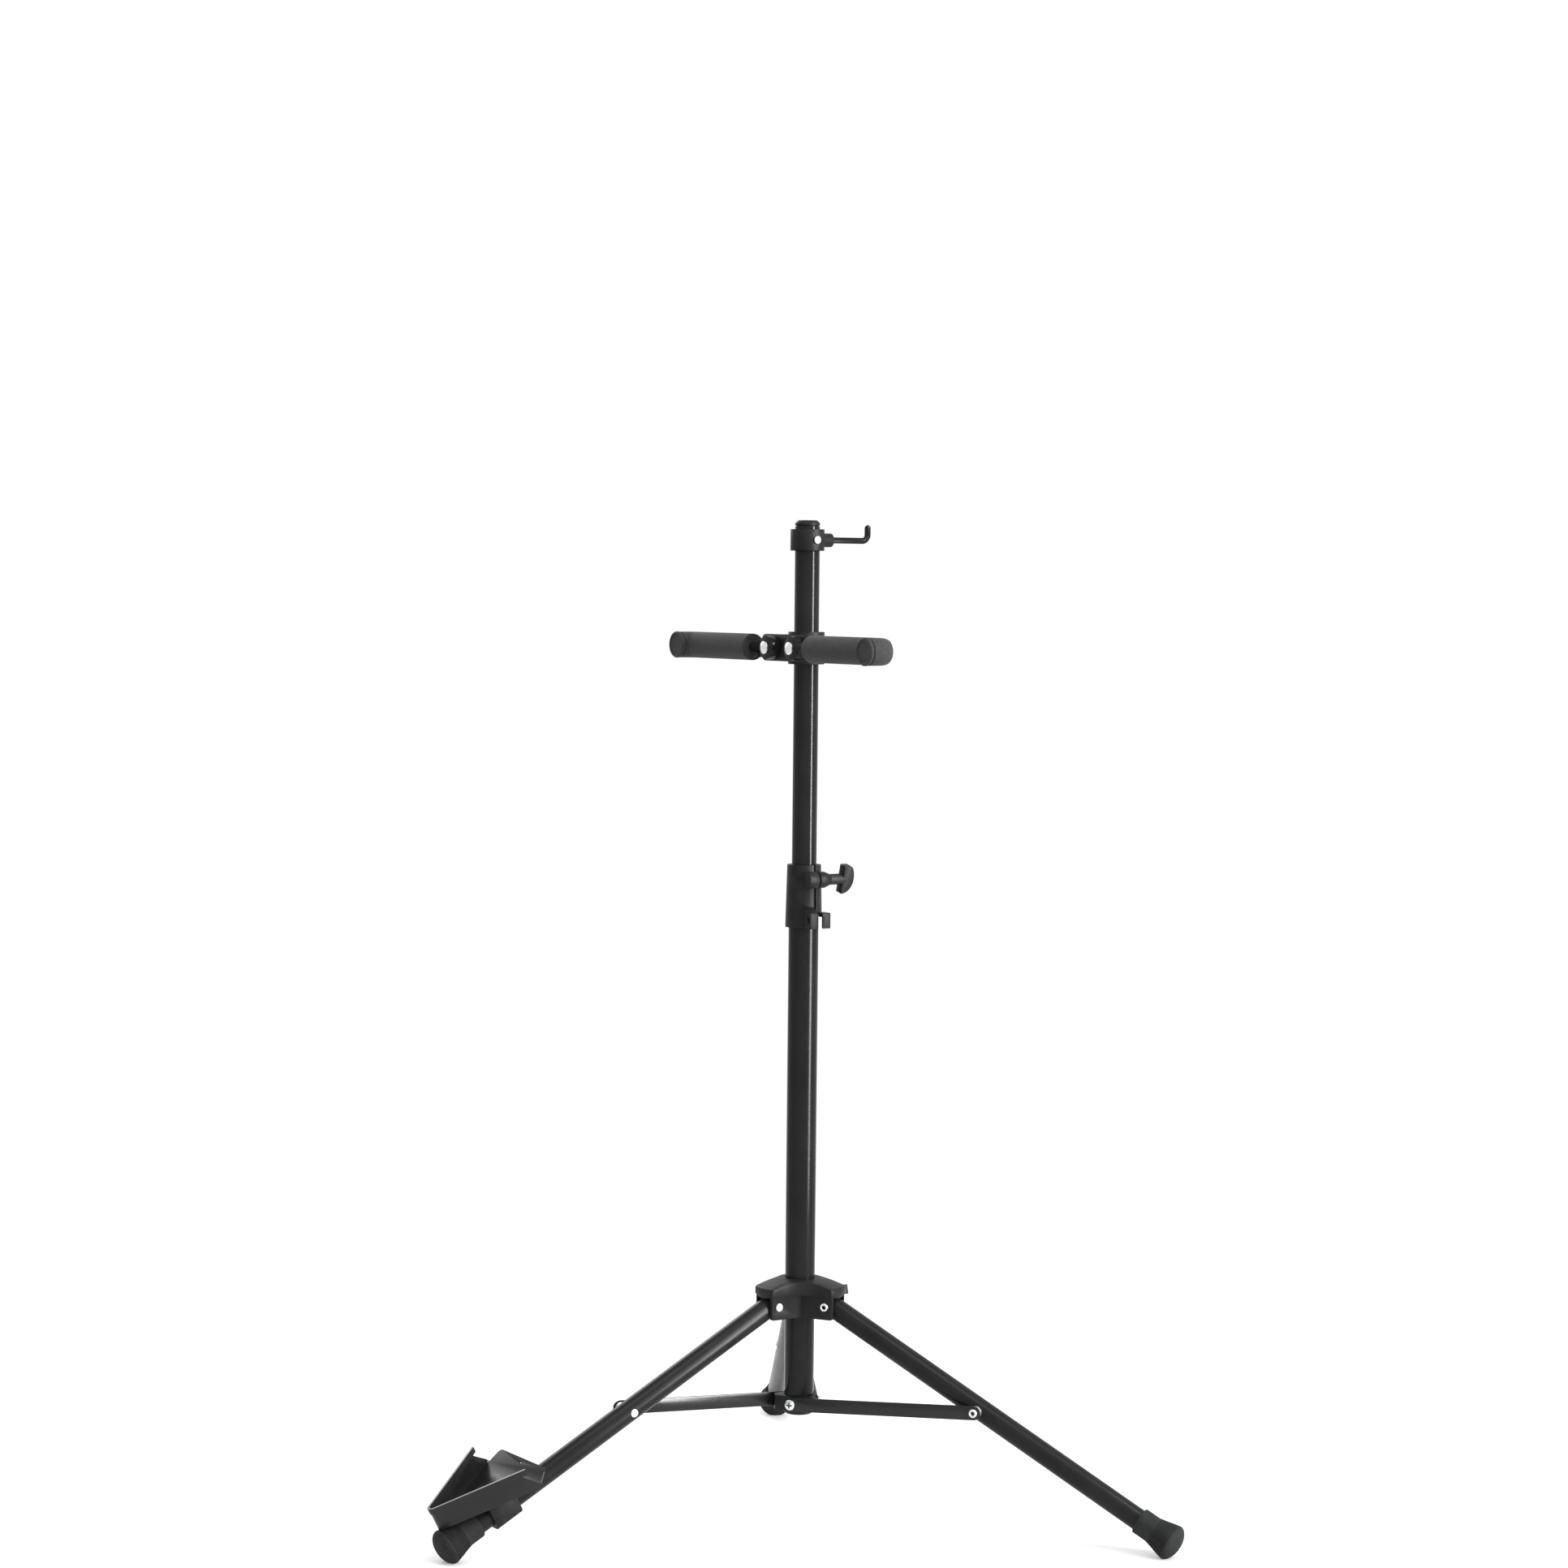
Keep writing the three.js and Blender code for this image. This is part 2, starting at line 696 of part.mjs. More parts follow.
function buildLegHub() {
  const hub = new THREE.Group();
  hub.position.z = hubPivotHeight;
  stand.add(hub);

  const slotHalf = legRadius + hubSlotClearance;
  const skirtWidth = 2 * (slotHalf + hubWall);
  const domeCentre = hubDomeTop - Math.sqrt(hubDomeRadius ** 2 - mainTubeRadius ** 2);
  const domeHeight = (reach) => domeCentre + Math.sqrt(hubDomeRadius ** 2 - reach ** 2);
  const crownReach = hubArmEndRadius - hubRimRadius;
  const rimHeight = domeHeight(crownReach) - hubRimRadius;
  const crown = [[0, hubBandBottom], [hubArmEndRadius, hubBandBottom]];
  for (let i = 0; i <= arcSteps; i += 1) {
    const angle = (i / arcSteps) * Math.PI / 2;
    crown.push([crownReach + hubRimRadius * Math.cos(angle), rimHeight + hubRimRadius * Math.sin(angle)]);
  }
  for (let i = arcSteps - 1; i >= 0; i -= 1) {
    const reach = crownReach * i / arcSteps;
    crown.push([reach, domeHeight(reach)]);
  }
  const dome = revolve(crown, domeSides);
  const azimuths = Object.values(legAzimuths);
  const bandLow = hubBandBottom - overrun;
  const bandHigh = hubDomeTop + overrun;
  const bandArm = slab(hubArmShape(skirtWidth, hubArmEndRadius), bandLow, bandHigh);
  const bandArms = azimuths.map((azimuth) => turned(bandArm, azimuth));
  const waistCentre = (skirtWidth / 2 + hubWaistRadius) / Math.sin(Math.PI / azimuths.length);
  const waist = rod(hubWaistRadius, bandLow - overrun, bandHigh + overrun, waistSides);
  waist.translate(-waistCentre, 0, 0);
  const waists = azimuths.map((azimuth) => turned(waist, azimuth));
  const bandBarrel = cut(rod(hubWaistRadius, bandLow, bandHigh, tubeSides), ...waists);
  const band = overlapOf(join(bandBarrel, ...bandArms), dome);
  const skirtPlan = slab(hubArmShape(skirtWidth - 2 * hubLip, hubArmEndRadius - hubLip),
    -hubSkirtDrop, hubBandBottom + hubLip);
  const skirtSide = upright(roundedPolygon([
    [0, -hubSkirtDrop, 0],
    [hubArmEndRadius, -hubSkirtDrop, hubSkirtCorner],
    [hubArmEndRadius, hubBandBottom + hubLip, 0],
    [0, hubBandBottom + hubLip, 0],
  ]), -skirtWidth, skirtWidth);
  const skirtArm = overlapOf(skirtPlan, skirtSide);
  const skirts = azimuths.map((azimuth) => turned(skirtArm, azimuth));
  const boss = alongY(rod(hubBossDiameter / 2, 0, hubBossReach, legSides)).translate(0, 0, hubScrewHeight);

  const boreRadius = mainTubeRadius + gap;
  const bore = rod(boreRadius, -hubSkirtDrop - overrun, hubDomeTop + overrun, tubeSides);
  const slotStart = boreRadius + hubSlotWall;
  const barrel = rod(slotStart - hubLip, -hubSkirtDrop, hubBandBottom + hubLip, tubeSides);
  const slotEnd = hubArmEndRadius + overrun;
  const slotLift = legRadius + hubSlotClearance;
  const topRadius = Math.hypot(legTopOverhang, legRadius) + gap;
  const slotBelow = box(slotStart, slotEnd, -slotHalf, slotHalf, -hubSkirtDrop - overrun, 0);
  const slotAlong = box(-legTopOverhang, slotEnd, -slotHalf, slotHalf, -slotLift, slotLift);
  slotAlong.rotateY(legSlope).translate(hubPivotRadius, 0, 0);
  const slotRound = alongY(rod(topRadius, -slotHalf, slotHalf, legSides)).translate(hubPivotRadius, 0, 0);
  const cheekReach = slotHalf + hubWall + overrun;
  const pinHole = alongY(rod(pinDiameter / 2 + gap, -cheekReach, cheekReach, pinSides));
  pinHole.translate(hubPivotRadius, 0, 0);
  const slot = join(slotBelow, slotAlong, slotRound, pinHole);
  const slots = azimuths.map((azimuth) => turned(slot, azimuth));
  const screwHole = alongY(rod(studRadius + gap, 0, hubBossReach + overrun, pinSides));
  screwHole.translate(0, 0, hubScrewHeight);
  const body = cut(join(band, ...skirts, barrel, boss), bore, ...slots, screwHole);
  addPiece(hub, 'leg_hub', body, 'plastic');

  const knobStart = hubBossReach + gap;
  const knob = wingKnob(hubWingNeckLength, hubWingTilt).translate(0, knobStart, hubScrewHeight);
  addPiece(hub, 'hub_knob', knob, 'plastic');
  const stud = knobStud(mainTubeRadius + gap, knobStart).translate(0, 0, hubScrewHeight);
  addPiece(hub, 'hub_stud', stud, 'zinc');
}

// One leg with its foot, its rivets, its link and the link's fasteners

function buildLegTube(leg, side) {
  const tubeEnd = legReach - footWall;
  const tube = alongX(pipe(legRadius, legBore, -legTopOverhang, tubeEnd, legSides));
  const pinHole = alongY(rod(pinDiameter / 2 + gap, -legRadius - overrun, legRadius + overrun, pinSides));
  const holeRadius = eyeletShankDiameter / 2 + gap;
  const rivetHole = alongY(rod(holeRadius, -legRadius - overrun, legRadius + overrun, pinSides));
  rivetHole.translate(linkPivotReach, 0, 0);
  addPiece(leg, `leg_tube_${side}`, cut(tube, pinHole, rivetHole), 'paintedSteel');
}

function buildFoot(leg, side) {
  const sleeveStart = legReach - footFlareLength - footSleeveLength;
  const flareStart = legReach - footFlareLength;
  const sleeveRadius = footSleeveDiameter / 2;
  const boreRadius = legRadius + gap;
  const boreEnd = legReach - footWall + gap;
  const profile = [[boreRadius, sleeveStart], [sleeveRadius, sleeveStart], [sleeveRadius, flareStart]];
  const steps = 5;
  for (let i = 1; i <= steps; i += 1) {
    const share = i / steps;
    const swell = Math.sin(share * Math.PI / 2);
    const flareRadius = sleeveRadius + (footRimRadius - sleeveRadius) * swell;
    profile.push([flareRadius, flareStart + footFlareLength * share]);
  }
  for (let i = 1; i <= steps; i += 1) {
    const angle = (i / steps) * Math.PI / 2;
    profile.push([footRimRadius * Math.cos(angle), legReach + footDomeLength * Math.sin(angle)]);
  }
  profile[profile.length - 1][0] = 0;
  const outer = revolve([[0, sleeveStart], ...profile.slice(1)], legSides);
  const bore = rod(boreRadius, sleeveStart - overrun, boreEnd, legSides);
  const floor = box(-legReach, 2 * legReach, -legReach, legReach, -legReach, 0);
  floor.translate(-hubPivotRadius, 0, -hubPivotHeight).rotateY(-legSlope);
  addPiece(leg, `foot_${side}`, cut(alongX(outer), alongX(bore), floor), 'rubber');
}

function buildLegRivets(hubFrame, leg, side) {
  const cheekFace = legRadius + hubSlotClearance + hubWall - hubLip + gap;
  const hubRivet = cut(
    join(
      rod(pinDiameter / 2, -cheekFace - eyeletHeadHeight / 2, cheekFace + rivetHeadHeight / 2, pinSides),
      domeHead(rivetHeadDiameter, rivetHeadHeight, pinSides).translate(0, 0, cheekFace),
      domeHead(eyeletHeadDiameter, eyeletHeadHeight, pinSides).rotateX(Math.PI).translate(0, 0, -cheekFace),
    ),
    rod(eyeletBoreDiameter / 2, -cheekFace - overrun, -cheekFace + hubWall, pinSides),
  );
  addPiece(hubFrame, `hub_rivet_${side}`, alongY(hubRivet), 'zinc');

  const shank = rod(eyeletShankDiameter / 2, -legRadius, legRadius + rivetHeadHeight / 2, pinSides);
  const head = domeHead(rivetHeadDiameter, rivetHeadHeight, pinSides).translate(0, 0, legRadius);
  const legRivet = alongY(join(shank, head)).translate(linkPivotReach, 0, 0);
  addPiece(leg, `leg_rivet_${side}`, legRivet, 'zinc');
}

function buildLink(frame, side) {
  const link = new THREE.Group();
  link.position.set(0, 0, lowerPivotHeight);
  link.rotation.y = -linkSlope;
  frame.add(link);

  const bar = barShape(linkLength, linkHeight);
  bar.holes.push(roundHole(0, 0, linkScrewDiameter + 2 * gap));
  bar.holes.push(roundHole(linkLength, 0, eyeletShankDiameter + 2 * gap));
  addPiece(link, `link_${side}`, upright(bar, -linkOuterFace, -linkInnerFace), 'paintedSteel');

  const spacerTop = legRadius + gap;
  const headSeat = linkOuterFace + gap;
  const eyelet = cut(
    join(
      rod(spacerDiameter / 2, spacerTop, linkInnerFace - gap, pinSides),
      rod(eyeletShankDiameter / 2, spacerTop, headSeat + eyeletHeadHeight, pinSides),
      domeHead(eyeletHeadDiameter, eyeletHeadHeight, pinSides).translate(0, 0, headSeat),
    ),
    rod(eyeletBoreDiameter / 2, headSeat - linkThickness, headSeat + overrun, pinSides),
  );
  const eyeletPiece = eyelet.rotateX(Math.PI / 2).translate(linkLength, 0, 0);
  addPiece(link, `link_eyelet_${side}`, eyeletPiece, 'zinc');

  const screwHeadSeat = linkOuterFace + gap;
  const shankLength = screwHeadSeat - lowerHubFaceOffset + linkScrewDepth;
  const recessFloor = linkScrewHeadHeight - crossRecessDepth;
  const slotAcross = box(-crossRecessLength / 2, crossRecessLength / 2, -crossRecessWidth / 2,
    crossRecessWidth / 2, recessFloor, linkScrewHeadHeight + overrun);
  const screw = cut(panScrew(linkScrewDiameter, shankLength, linkScrewHeadDiameter, linkScrewHeadHeight),
    slotAcross, turned(slotAcross, Math.PI / 2));
  screw.rotateX(Math.PI / 2).translate(0, -screwHeadSeat, lowerPivotHeight);
  addPiece(frame, `link_screw_${side}`, screw, 'zinc');
}

function buildLegs() {
  for (const [side, azimuth] of Object.entries(legAzimuths)) {
    const frame = new THREE.Group();
    frame.rotation.z = azimuth;
    stand.add(frame);
    const hubFrame = new THREE.Group();
    hubFrame.position.set(hubPivotRadius, 0, hubPivotHeight);
    frame.add(hubFrame);
    const leg = new THREE.Group();
    leg.rotation.y = legSlope;
    hubFrame.add(leg);
    buildLegTube(leg, side);
    buildFoot(leg, side);
    buildLegRivets(hubFrame, leg, side);
    buildLink(frame, side);
    if (side === 'front') buildTray(leg);
  }
}

// Tray: a folded three sided pan with hemmed walls, on a saddle block that holds the front leg

function trayOutline(inset, apexFillet, baseExtra) {
  const apex = trayApexReach - inset / Math.sin(trayHalfAngle);
  const base = trayBaseReach - baseExtra;
  const halfWidth = (apex - base) * Math.tan(trayHalfAngle);
  return roundedPolygon([[base, -halfWidth, 0], [apex, 0, apexFillet], [base, halfWidth, 0]]);
}

function buildTray(leg) {
  const floorTop = trayFloorLift + traySheet;
  const wallTop = trayFloorLift + trayWallHeight;
  const hemBottom = wallTop - trayHemHeight;
  const outer = slab(trayOutline(0, trayApexFillet, 0), trayFloorLift, wallTop);
  const hem = slab(trayOutline(-trayHemDepth, trayApexFillet + trayHemDepth, 0), hemBottom, wallTop);
  const innerOutline = trayOutline(traySheet, trayApexFillet - traySheet, overrun);
  const inner = slab(innerOutline, floorTop, wallTop + overrun);
  const notch = upright(polygon([
    [trayBaseReach - overrun, floorTop],
    [trayBaseReach, floorTop],
    [trayBaseReach + trayEndNotchReach, hemBottom],
    [trayBaseReach + trayEndTopReach, hemBottom],
    [trayBaseReach + trayEndTopReach, wallTop + overrun],
    [trayBaseReach - overrun, wallTop + overrun],
  ]), -trayApexReach, trayApexReach);
  const half = trayFlapWidth / 2;
  const flapOutline = roundedPolygon([
    [-trayFlapLength, -half + trayFlapInset, trayFlapFillet],
    [0, -half, 0],
    [0, half, 0],
    [-trayFlapLength, half - trayFlapInset, trayFlapFillet],
  ]);
  flapOutline.holes.push(roundHole(-trayFlapHoleReach, 0, trayFlapHoleDiameter));
  const flap = slab(flapOutline, 0, traySheet).rotateY(trayFlapAngle);
  flap.translate(trayBaseReach + traySheet * Math.sin(trayFlapAngle), 0, trayFloorLift);
  const screwReach = saddleReach + trayScrewInset;
  const screwSide = trayScrewSpacing / 2;
  const screwRadius = trayScrewDiameter / 2;
  const screwTop = trayScrewHeadDiameter / 2;
  const countersink = revolve([
    [0, trayFloorLift - overrun],
    [screwRadius + gap, trayFloorLift - overrun],
    [screwTop + 2 * gap - traySheet, trayFloorLift],
    [screwTop + 2 * gap, floorTop],
    [screwTop + 2 * gap, floorTop + overrun],
    [0, floorTop + overrun],
  ], legSides);
  const holes = [-screwSide, screwSide].map((across) => countersink.clone()
    .translate(screwReach, across, 0));
  const pan = join(cut(join(outer, hem), inner, notch), flap);
  addPiece(leg, 'tray', cut(pan, ...holes), 'paintedSteel');

  const saddleTop = trayFloorLift - gap;
  const section = roundedPolygon([
    [-saddleWidth / 2, -saddleDepth, saddleCorner],
    [saddleWidth / 2, -saddleDepth, saddleCorner],
    [saddleWidth / 2, saddleTop, 0],
    [-saddleWidth / 2, saddleTop, 0],
  ]);
  const block = slab(section, 0, saddleLength).rotateX(Math.PI / 2).rotateZ(Math.PI / 2);
  block.translate(saddleReach, 0, 0);
  const saddleEnd = saddleReach + saddleLength;
  const bore = alongX(rod(legRadius + gap, saddleReach - overrun, saddleEnd + overrun, legSides));
  const holeBottom = floorTop - trayScrewLength - gap;
  const blockHole = rod(screwRadius + gap, holeBottom, saddleTop + overrun, pinSides);
  const blockHoles = [-screwSide, screwSide].map((across) => blockHole.clone()
    .translate(screwReach, across, 0));
  const boltReach = saddleReach + saddleBoltInset;
  const sideFace = saddleWidth / 2;
  const boltHoleRadius = saddleBoltDiameter / 2 + gap;
  const boltHole = alongY(rod(boltHoleRadius, -sideFace - overrun, sideFace + overrun, pinSides));
  boltHole.translate(boltReach, 0, saddleBoltLift);
  addPiece(leg, 'tray_saddle', cut(block, bore, boltHole, ...blockHoles), 'plastic');

  const boltSeat = sideFace + gap;
  const bolt = panScrew(saddleBoltDiameter, 2 * boltSeat + saddleNutThickness,
    saddleBoltHeadDiameter, saddleBoltHeadHeight);
  addPiece(leg, 'saddle_bolt', alongY(bolt).translate(boltReach, boltSeat, saddleBoltLift), 'zinc');
  const nut = alongY(hexNut(saddleNutWidth, saddleNutThickness, saddleBoltDiameter + 2 * gap));
  nut.translate(boltReach, -boltSeat - saddleNutThickness, saddleBoltLift);
  addPiece(leg, 'saddle_nut', nut, 'zinc');

  const screwSides = { right: -screwSide, left: screwSide };
  const screw = revolve([
    [0, -trayScrewLength],
    [screwRadius, -trayScrewLength],
    [screwRadius, -trayScrewHeadHeight],
    [screwTop, 0],
    [0, 0],
  ], legSides).translate(screwReach, 0, floorTop - gap / 2);
  for (const [side, across] of Object.entries(screwSides)) {
    addPiece(leg, `tray_screw_${side}`, screw.clone().translate(0, across, 0), 'zinc');
  }
}

// Head: a barrel on the inner tube and a front plate that carries the two arms on their stops

function buildHead() {
  const head = new THREE.Group();
  head.position.z = headCentre;
  stand.add(head);

  const half = headHeight / 2;
  const barrelRadius = headBarrelDiameter / 2;
  const plateFront = -armPlaneOffset + armRodDiameter / 2 + gap;
  const plateBack = plateFront + headPlateThickness;
  const barrel = rod(barrelRadius, -half, half, tubeSides);
  const noseHalf = armPivotOffset - armNutWidth / 2 / Math.cos(Math.PI / hexSides) - gap;
  const nose = box(-noseHalf, noseHalf, plateFront, 0, -headPlateHeight / 2, headPlateHeight / 2);
  const plateHalf = headPlateWidth / 2;
  const plate = upright(roundedPolygon([
    [-plateHalf, -headPlateHeight / 2, headPlateCorner],
    [plateHalf, -headPlateHeight / 2, headPlateCorner],
    [plateHalf, headPlateHeight / 2, headPlateCorner],
    [-plateHalf, headPlateHeight / 2, headPlateCorner],
  ]), plateFront, plateBack);
  const stopTop = -armRodDiameter / 2 - gap;
  const stopStart = armPivotOffset + armStopDistance;
  const stopFront = -armPlaneOffset - armRodDiameter / 2;
  const stops = [-1, 1].map((way) => box(
    way > 0 ? stopStart : -stopStart - armStopWidth,
    way > 0 ? stopStart + armStopWidth : -stopStart,
    stopFront, plateBack, stopTop - armStopThickness, stopTop,
  ));
  const bore = rod(innerTubeRadius + gap, -half - overrun, half + overrun, tubeSides);
  const crossRadius = headBoltDiameter / 2 + gap;
  const crossHole = alongX(rod(crossRadius, -barrelRadius - overrun, barrelRadius + overrun, pinSides));
  const armHoles = [-armPivotOffset, armPivotOffset].map((across) => alongY(rod(armBoltDiameter / 2 + gap,
    plateFront - overrun, plateBack + overrun, pinSides)).translate(across, 0, 0));
  const body = cut(join(barrel, nose, plate, ...stops), bore, crossHole, ...armHoles);
  addPiece(head, 'head_bracket', body, 'plastic');

  const nutSeat = barrelRadius + gap;
  const bolt = alongX(panScrew(headBoltDiameter, 2 * nutSeat + headNutThickness,
    headBoltHeadDiameter, headBoltHeadHeight)).translate(nutSeat, 0, 0);
  addPiece(head, 'head_bolt', bolt, 'zinc');
  const nut = alongX(hexNut(headNutWidth, headNutThickness, headBoltDiameter + 2 * gap));
  nut.translate(-nutSeat - headNutThickness, 0, 0);
  addPiece(head, 'head_nut', nut, 'zinc');

  buildArm(head, 'right', 1, plateBack);
  buildArm(head, 'left', -1, plateBack);
}

// One support arm: a bent rod with a flat eye, its foam sleeve, and the bolt that it folds up on

function buildArm(head, side, way, plateBack) {
  const arm = new THREE.Group();
  arm.position.set(way * armPivotOffset, -armPlaneOffset, 0);
  head.add(arm);

  const turn = padSpan / 2 - armPivotOffset;
  const forward = padForward - armPlaneOffset;
  const rodRadius = armRodDiameter / 2;
  const mirrored = (geometry) => (way > 0 ? geometry : mirrorAcrossX(geometry));
  const eye = alongY(rod(armEyeDiameter / 2, -rodRadius, rodRadius, legSides));
  const rodPart = bentBar(rodRadius, pinSides, 0, turn, padBendRadius, forward - padEndWall - gap);
  const eyeHole = alongY(rod(armBoltDiameter / 2 + gap, -rodRadius - overrun, rodRadius + overrun, pinSides));
  addPiece(arm, `arm_${side}`, mirrored(cut(join(rodPart, eye), eyeHole)), 'paintedSteel');

  const padRadius = padDiameter / 2;
  const start = padStart - armPivotOffset;
  const outer = bentBar(padRadius, legSides, start, turn, padBendRadius, forward);
  const core = bentBar(rodRadius + gap, pinSides, start - overrun, turn, padBendRadius, forward - padEndWall);
  const lip = pipe(padRadius, padRadius - padLipWidth, 0, padLipDepth + padLipDepth, legSides);
  lip.rotateX(Math.PI / 2).translate(turn, -forward + padLipDepth, 0);
  addPiece(arm, `arm_sleeve_${side}`, mirrored(cut(join(outer, lip), core)), 'foam');

  const headSeat = rodRadius + gap;
  const nutSeat = armPlaneOffset + plateBack + gap;
  const bolt = panScrew(armBoltDiameter, headSeat + nutSeat + armNutThickness,
    armBoltHeadDiameter, armBoltHeadHeight);
  const boltPiece = bolt.rotateX(Math.PI / 2).translate(way * armPivotOffset, -armPlaneOffset - headSeat, 0);
  addPiece(head, `arm_bolt_${side}`, boltPiece, 'zinc');
  const nut = alongY(hexNut(armNutWidth, armNutThickness, armBoltDiameter + 2 * gap));
  nut.translate(way * armPivotOffset, plateBack + gap, 0);
  addPiece(head, `arm_nut_${side}`, nut, 'zinc');
}

// Hanging peg: a clip ring near the top of the inner tube and a bent bar that points back and up

function buildPeg() {
  const peg = new THREE.Group();
  peg.position.z = pegHeight;
  stand.add(peg);

  const half = pegClipHeight / 2;
  const boreRadius = innerTubeRadius + gap;
  const ringRadius = boreRadius + pegClipWall;
  const ring = rod(ringRadius, -half, half, tubeSides);
  const boss = alongY(rod(pegBossDiameter / 2, 0, pegBossReach, legSides));
  const bore = rod(boreRadius, -half - overrun, half + overrun, tubeSides);
  const seatStart = pegBossReach - pegSeatDepth;
  const seat = alongY(rod(pegDiameter / 2 + gap, seatStart - gap, pegBossReach + overrun, pinSides));
  const screwHole = alongX(rod(pegScrewDiameter / 2 + gap, 0, ringRadius + overrun, pinSides));
  addPiece(peg, 'peg_clip', cut(join(ring, boss), bore, seat, screwHole), 'plastic');

  const bar = bentBar(pegDiameter / 2, pinSides, seatStart, pegReach, pegBendRadius, pegTipRise);
  const tip = new THREE.SphereGeometry(pegDiameter / 2, pinSides, arcSteps);
  tip.translate(pegReach, -pegTipRise, 0);
  addPiece(peg, 'hanging_peg', join(bar, tip).rotateX(-Math.PI / 2).rotateZ(Math.PI / 2), 'paintedSteel');

  const screwSeat = ringRadius + gap;
  const screw = panScrew(pegScrewDiameter, screwSeat - boreRadius, pegScrewHeadDiameter, pegScrewHeadHeight);
  addPiece(peg, 'peg_screw', alongX(screw).translate(screwSeat, 0, 0), 'zinc');
}

buildMainTube();
buildInnerTube();
buildHeightClamp();
buildLowerHub();
buildLegHub();
buildLegs();
buildHead();
buildPeg();

// The origin is the middle of the bounding box, on the floor
const bounds = new THREE.Box3().setFromObject(stand, true);
const middle = bounds.getCenter(new THREE.Vector3());
stand.position.set(-middle.x, -middle.y, -bounds.min.z);

export default stand;
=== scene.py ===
import json
import math

import bmesh
import bpy
from bpy.props import FloatProperty, FloatVectorProperty, IntProperty, PointerProperty
from mathutils import Matrix, Vector


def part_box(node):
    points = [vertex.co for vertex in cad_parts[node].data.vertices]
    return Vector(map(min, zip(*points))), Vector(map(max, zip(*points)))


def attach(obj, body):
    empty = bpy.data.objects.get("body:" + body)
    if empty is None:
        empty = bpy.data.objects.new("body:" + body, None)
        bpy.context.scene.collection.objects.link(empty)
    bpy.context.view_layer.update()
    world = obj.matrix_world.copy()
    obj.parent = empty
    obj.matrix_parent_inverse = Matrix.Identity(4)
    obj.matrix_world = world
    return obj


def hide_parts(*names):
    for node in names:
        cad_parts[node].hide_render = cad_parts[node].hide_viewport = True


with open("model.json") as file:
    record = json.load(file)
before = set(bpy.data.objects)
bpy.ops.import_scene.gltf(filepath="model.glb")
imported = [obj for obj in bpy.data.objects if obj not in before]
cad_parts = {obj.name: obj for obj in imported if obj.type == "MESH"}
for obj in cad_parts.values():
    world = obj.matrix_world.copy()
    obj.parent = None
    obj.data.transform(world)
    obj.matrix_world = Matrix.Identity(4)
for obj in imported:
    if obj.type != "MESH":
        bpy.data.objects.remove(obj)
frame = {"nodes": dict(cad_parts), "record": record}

bl_info = {
    "name": "Folding instrument stand",
    "version": (1, 0, 0),
    "blender": (4, 5, 0),
    "location": "View3D > Sidebar > Stand",
    "description": "Dresses a folding tripod stand: tubes, mouldings, tray, padded arms and fasteners",
    "category": "Object",
}

# Lengths are in metres and angles in radians, and touching pieces keep a gap
MM = 0.001
GAP = 0.3 * MM
QUARTER_TURN = math.pi / 2

# The tripod's linkage
SIDES = ("front", "right", "left")
LEG_AZIMUTHS = {"front": math.radians(-90), "right": math.radians(30), "left": math.radians(150)}
LEG_SLOPE = math.radians(27.9)
HUB_PIVOT_RADIUS = 32.3 * MM
HUB_PIVOT_HEIGHT = 195.613 * MM
LOWER_PIVOT_HEIGHT = 100.5 * MM
LINK_PIVOT_REACH = 175 * MM
LINK_PLANE = 16.6 * MM
LINK_THICKNESS = 2.5 * MM
LINK_HALF_WIDTH = 6.5 * MM
LINK_INNER = LINK_PLANE - LINK_THICKNESS / 2 - GAP
LINK_OUTER = LINK_PLANE + LINK_THICKNESS / 2 + GAP

# Where a brace's outer pivot lies from its inner one
LINK_OUT = HUB_PIVOT_RADIUS + LINK_PIVOT_REACH * math.cos(LEG_SLOPE)
LINK_UP = HUB_PIVOT_HEIGHT - LINK_PIVOT_REACH * math.sin(LEG_SLOPE) - LOWER_PIVOT_HEIGHT
LINK_LENGTH = math.hypot(LINK_OUT, LINK_UP)

# Tubes, with the ends of a leg measured along it from its hub pivot
MAST_RADIUS = 14 * MM
SLIDING_RADIUS = 11.6 * MM
LEG_RADIUS = 10 * MM
TUBE_WALL = 1.5 * MM
LEG_START = -7 * MM
LEG_END = 383 * MM

# A rubber foot, measured along its leg in the same way
FOOT_START = 353 * MM
FOOT_FLARE = 367 * MM
FOOT_RIM = 387 * MM
FOOT_DOME = 9.5 * MM
FOOT_STRAIGHT_SHARE = 0.8
GROOVED_SHARES = (0.2, 0.99)
STEPS_PER_GROOVE = 8

# The padded arms, whose pivots lie beside the mast and in front of it
ARM_HEIGHT = 811.5 * MM
ARM_PIVOT = 21 * MM
ARM_PLANE = 27 * MM
FOAM_START = 29 * MM
FOAM_BORE = 5.6 * MM
FOAM_SIDES = 48
STRAIGHT_STEPS = 14
ELBOW_STEPS = 18

# A wing knob's stem and wing, and each knob's name, body, neck length and tilt
STEM_RADIUS = 5.1 * MM
WING_HALF_WIDTH = 13.5 * MM
WING_DEPTH = 12 * MM
WING_SHOULDER = 6.5 * MM
WING_HALF_THICKNESS = 4.5 * MM
KNOBS = (
    ("height", "height_wing", 13.6 * MM, math.radians(15)),
    ("hub", "hub_wing", 9.7 * MM, math.radians(75)))

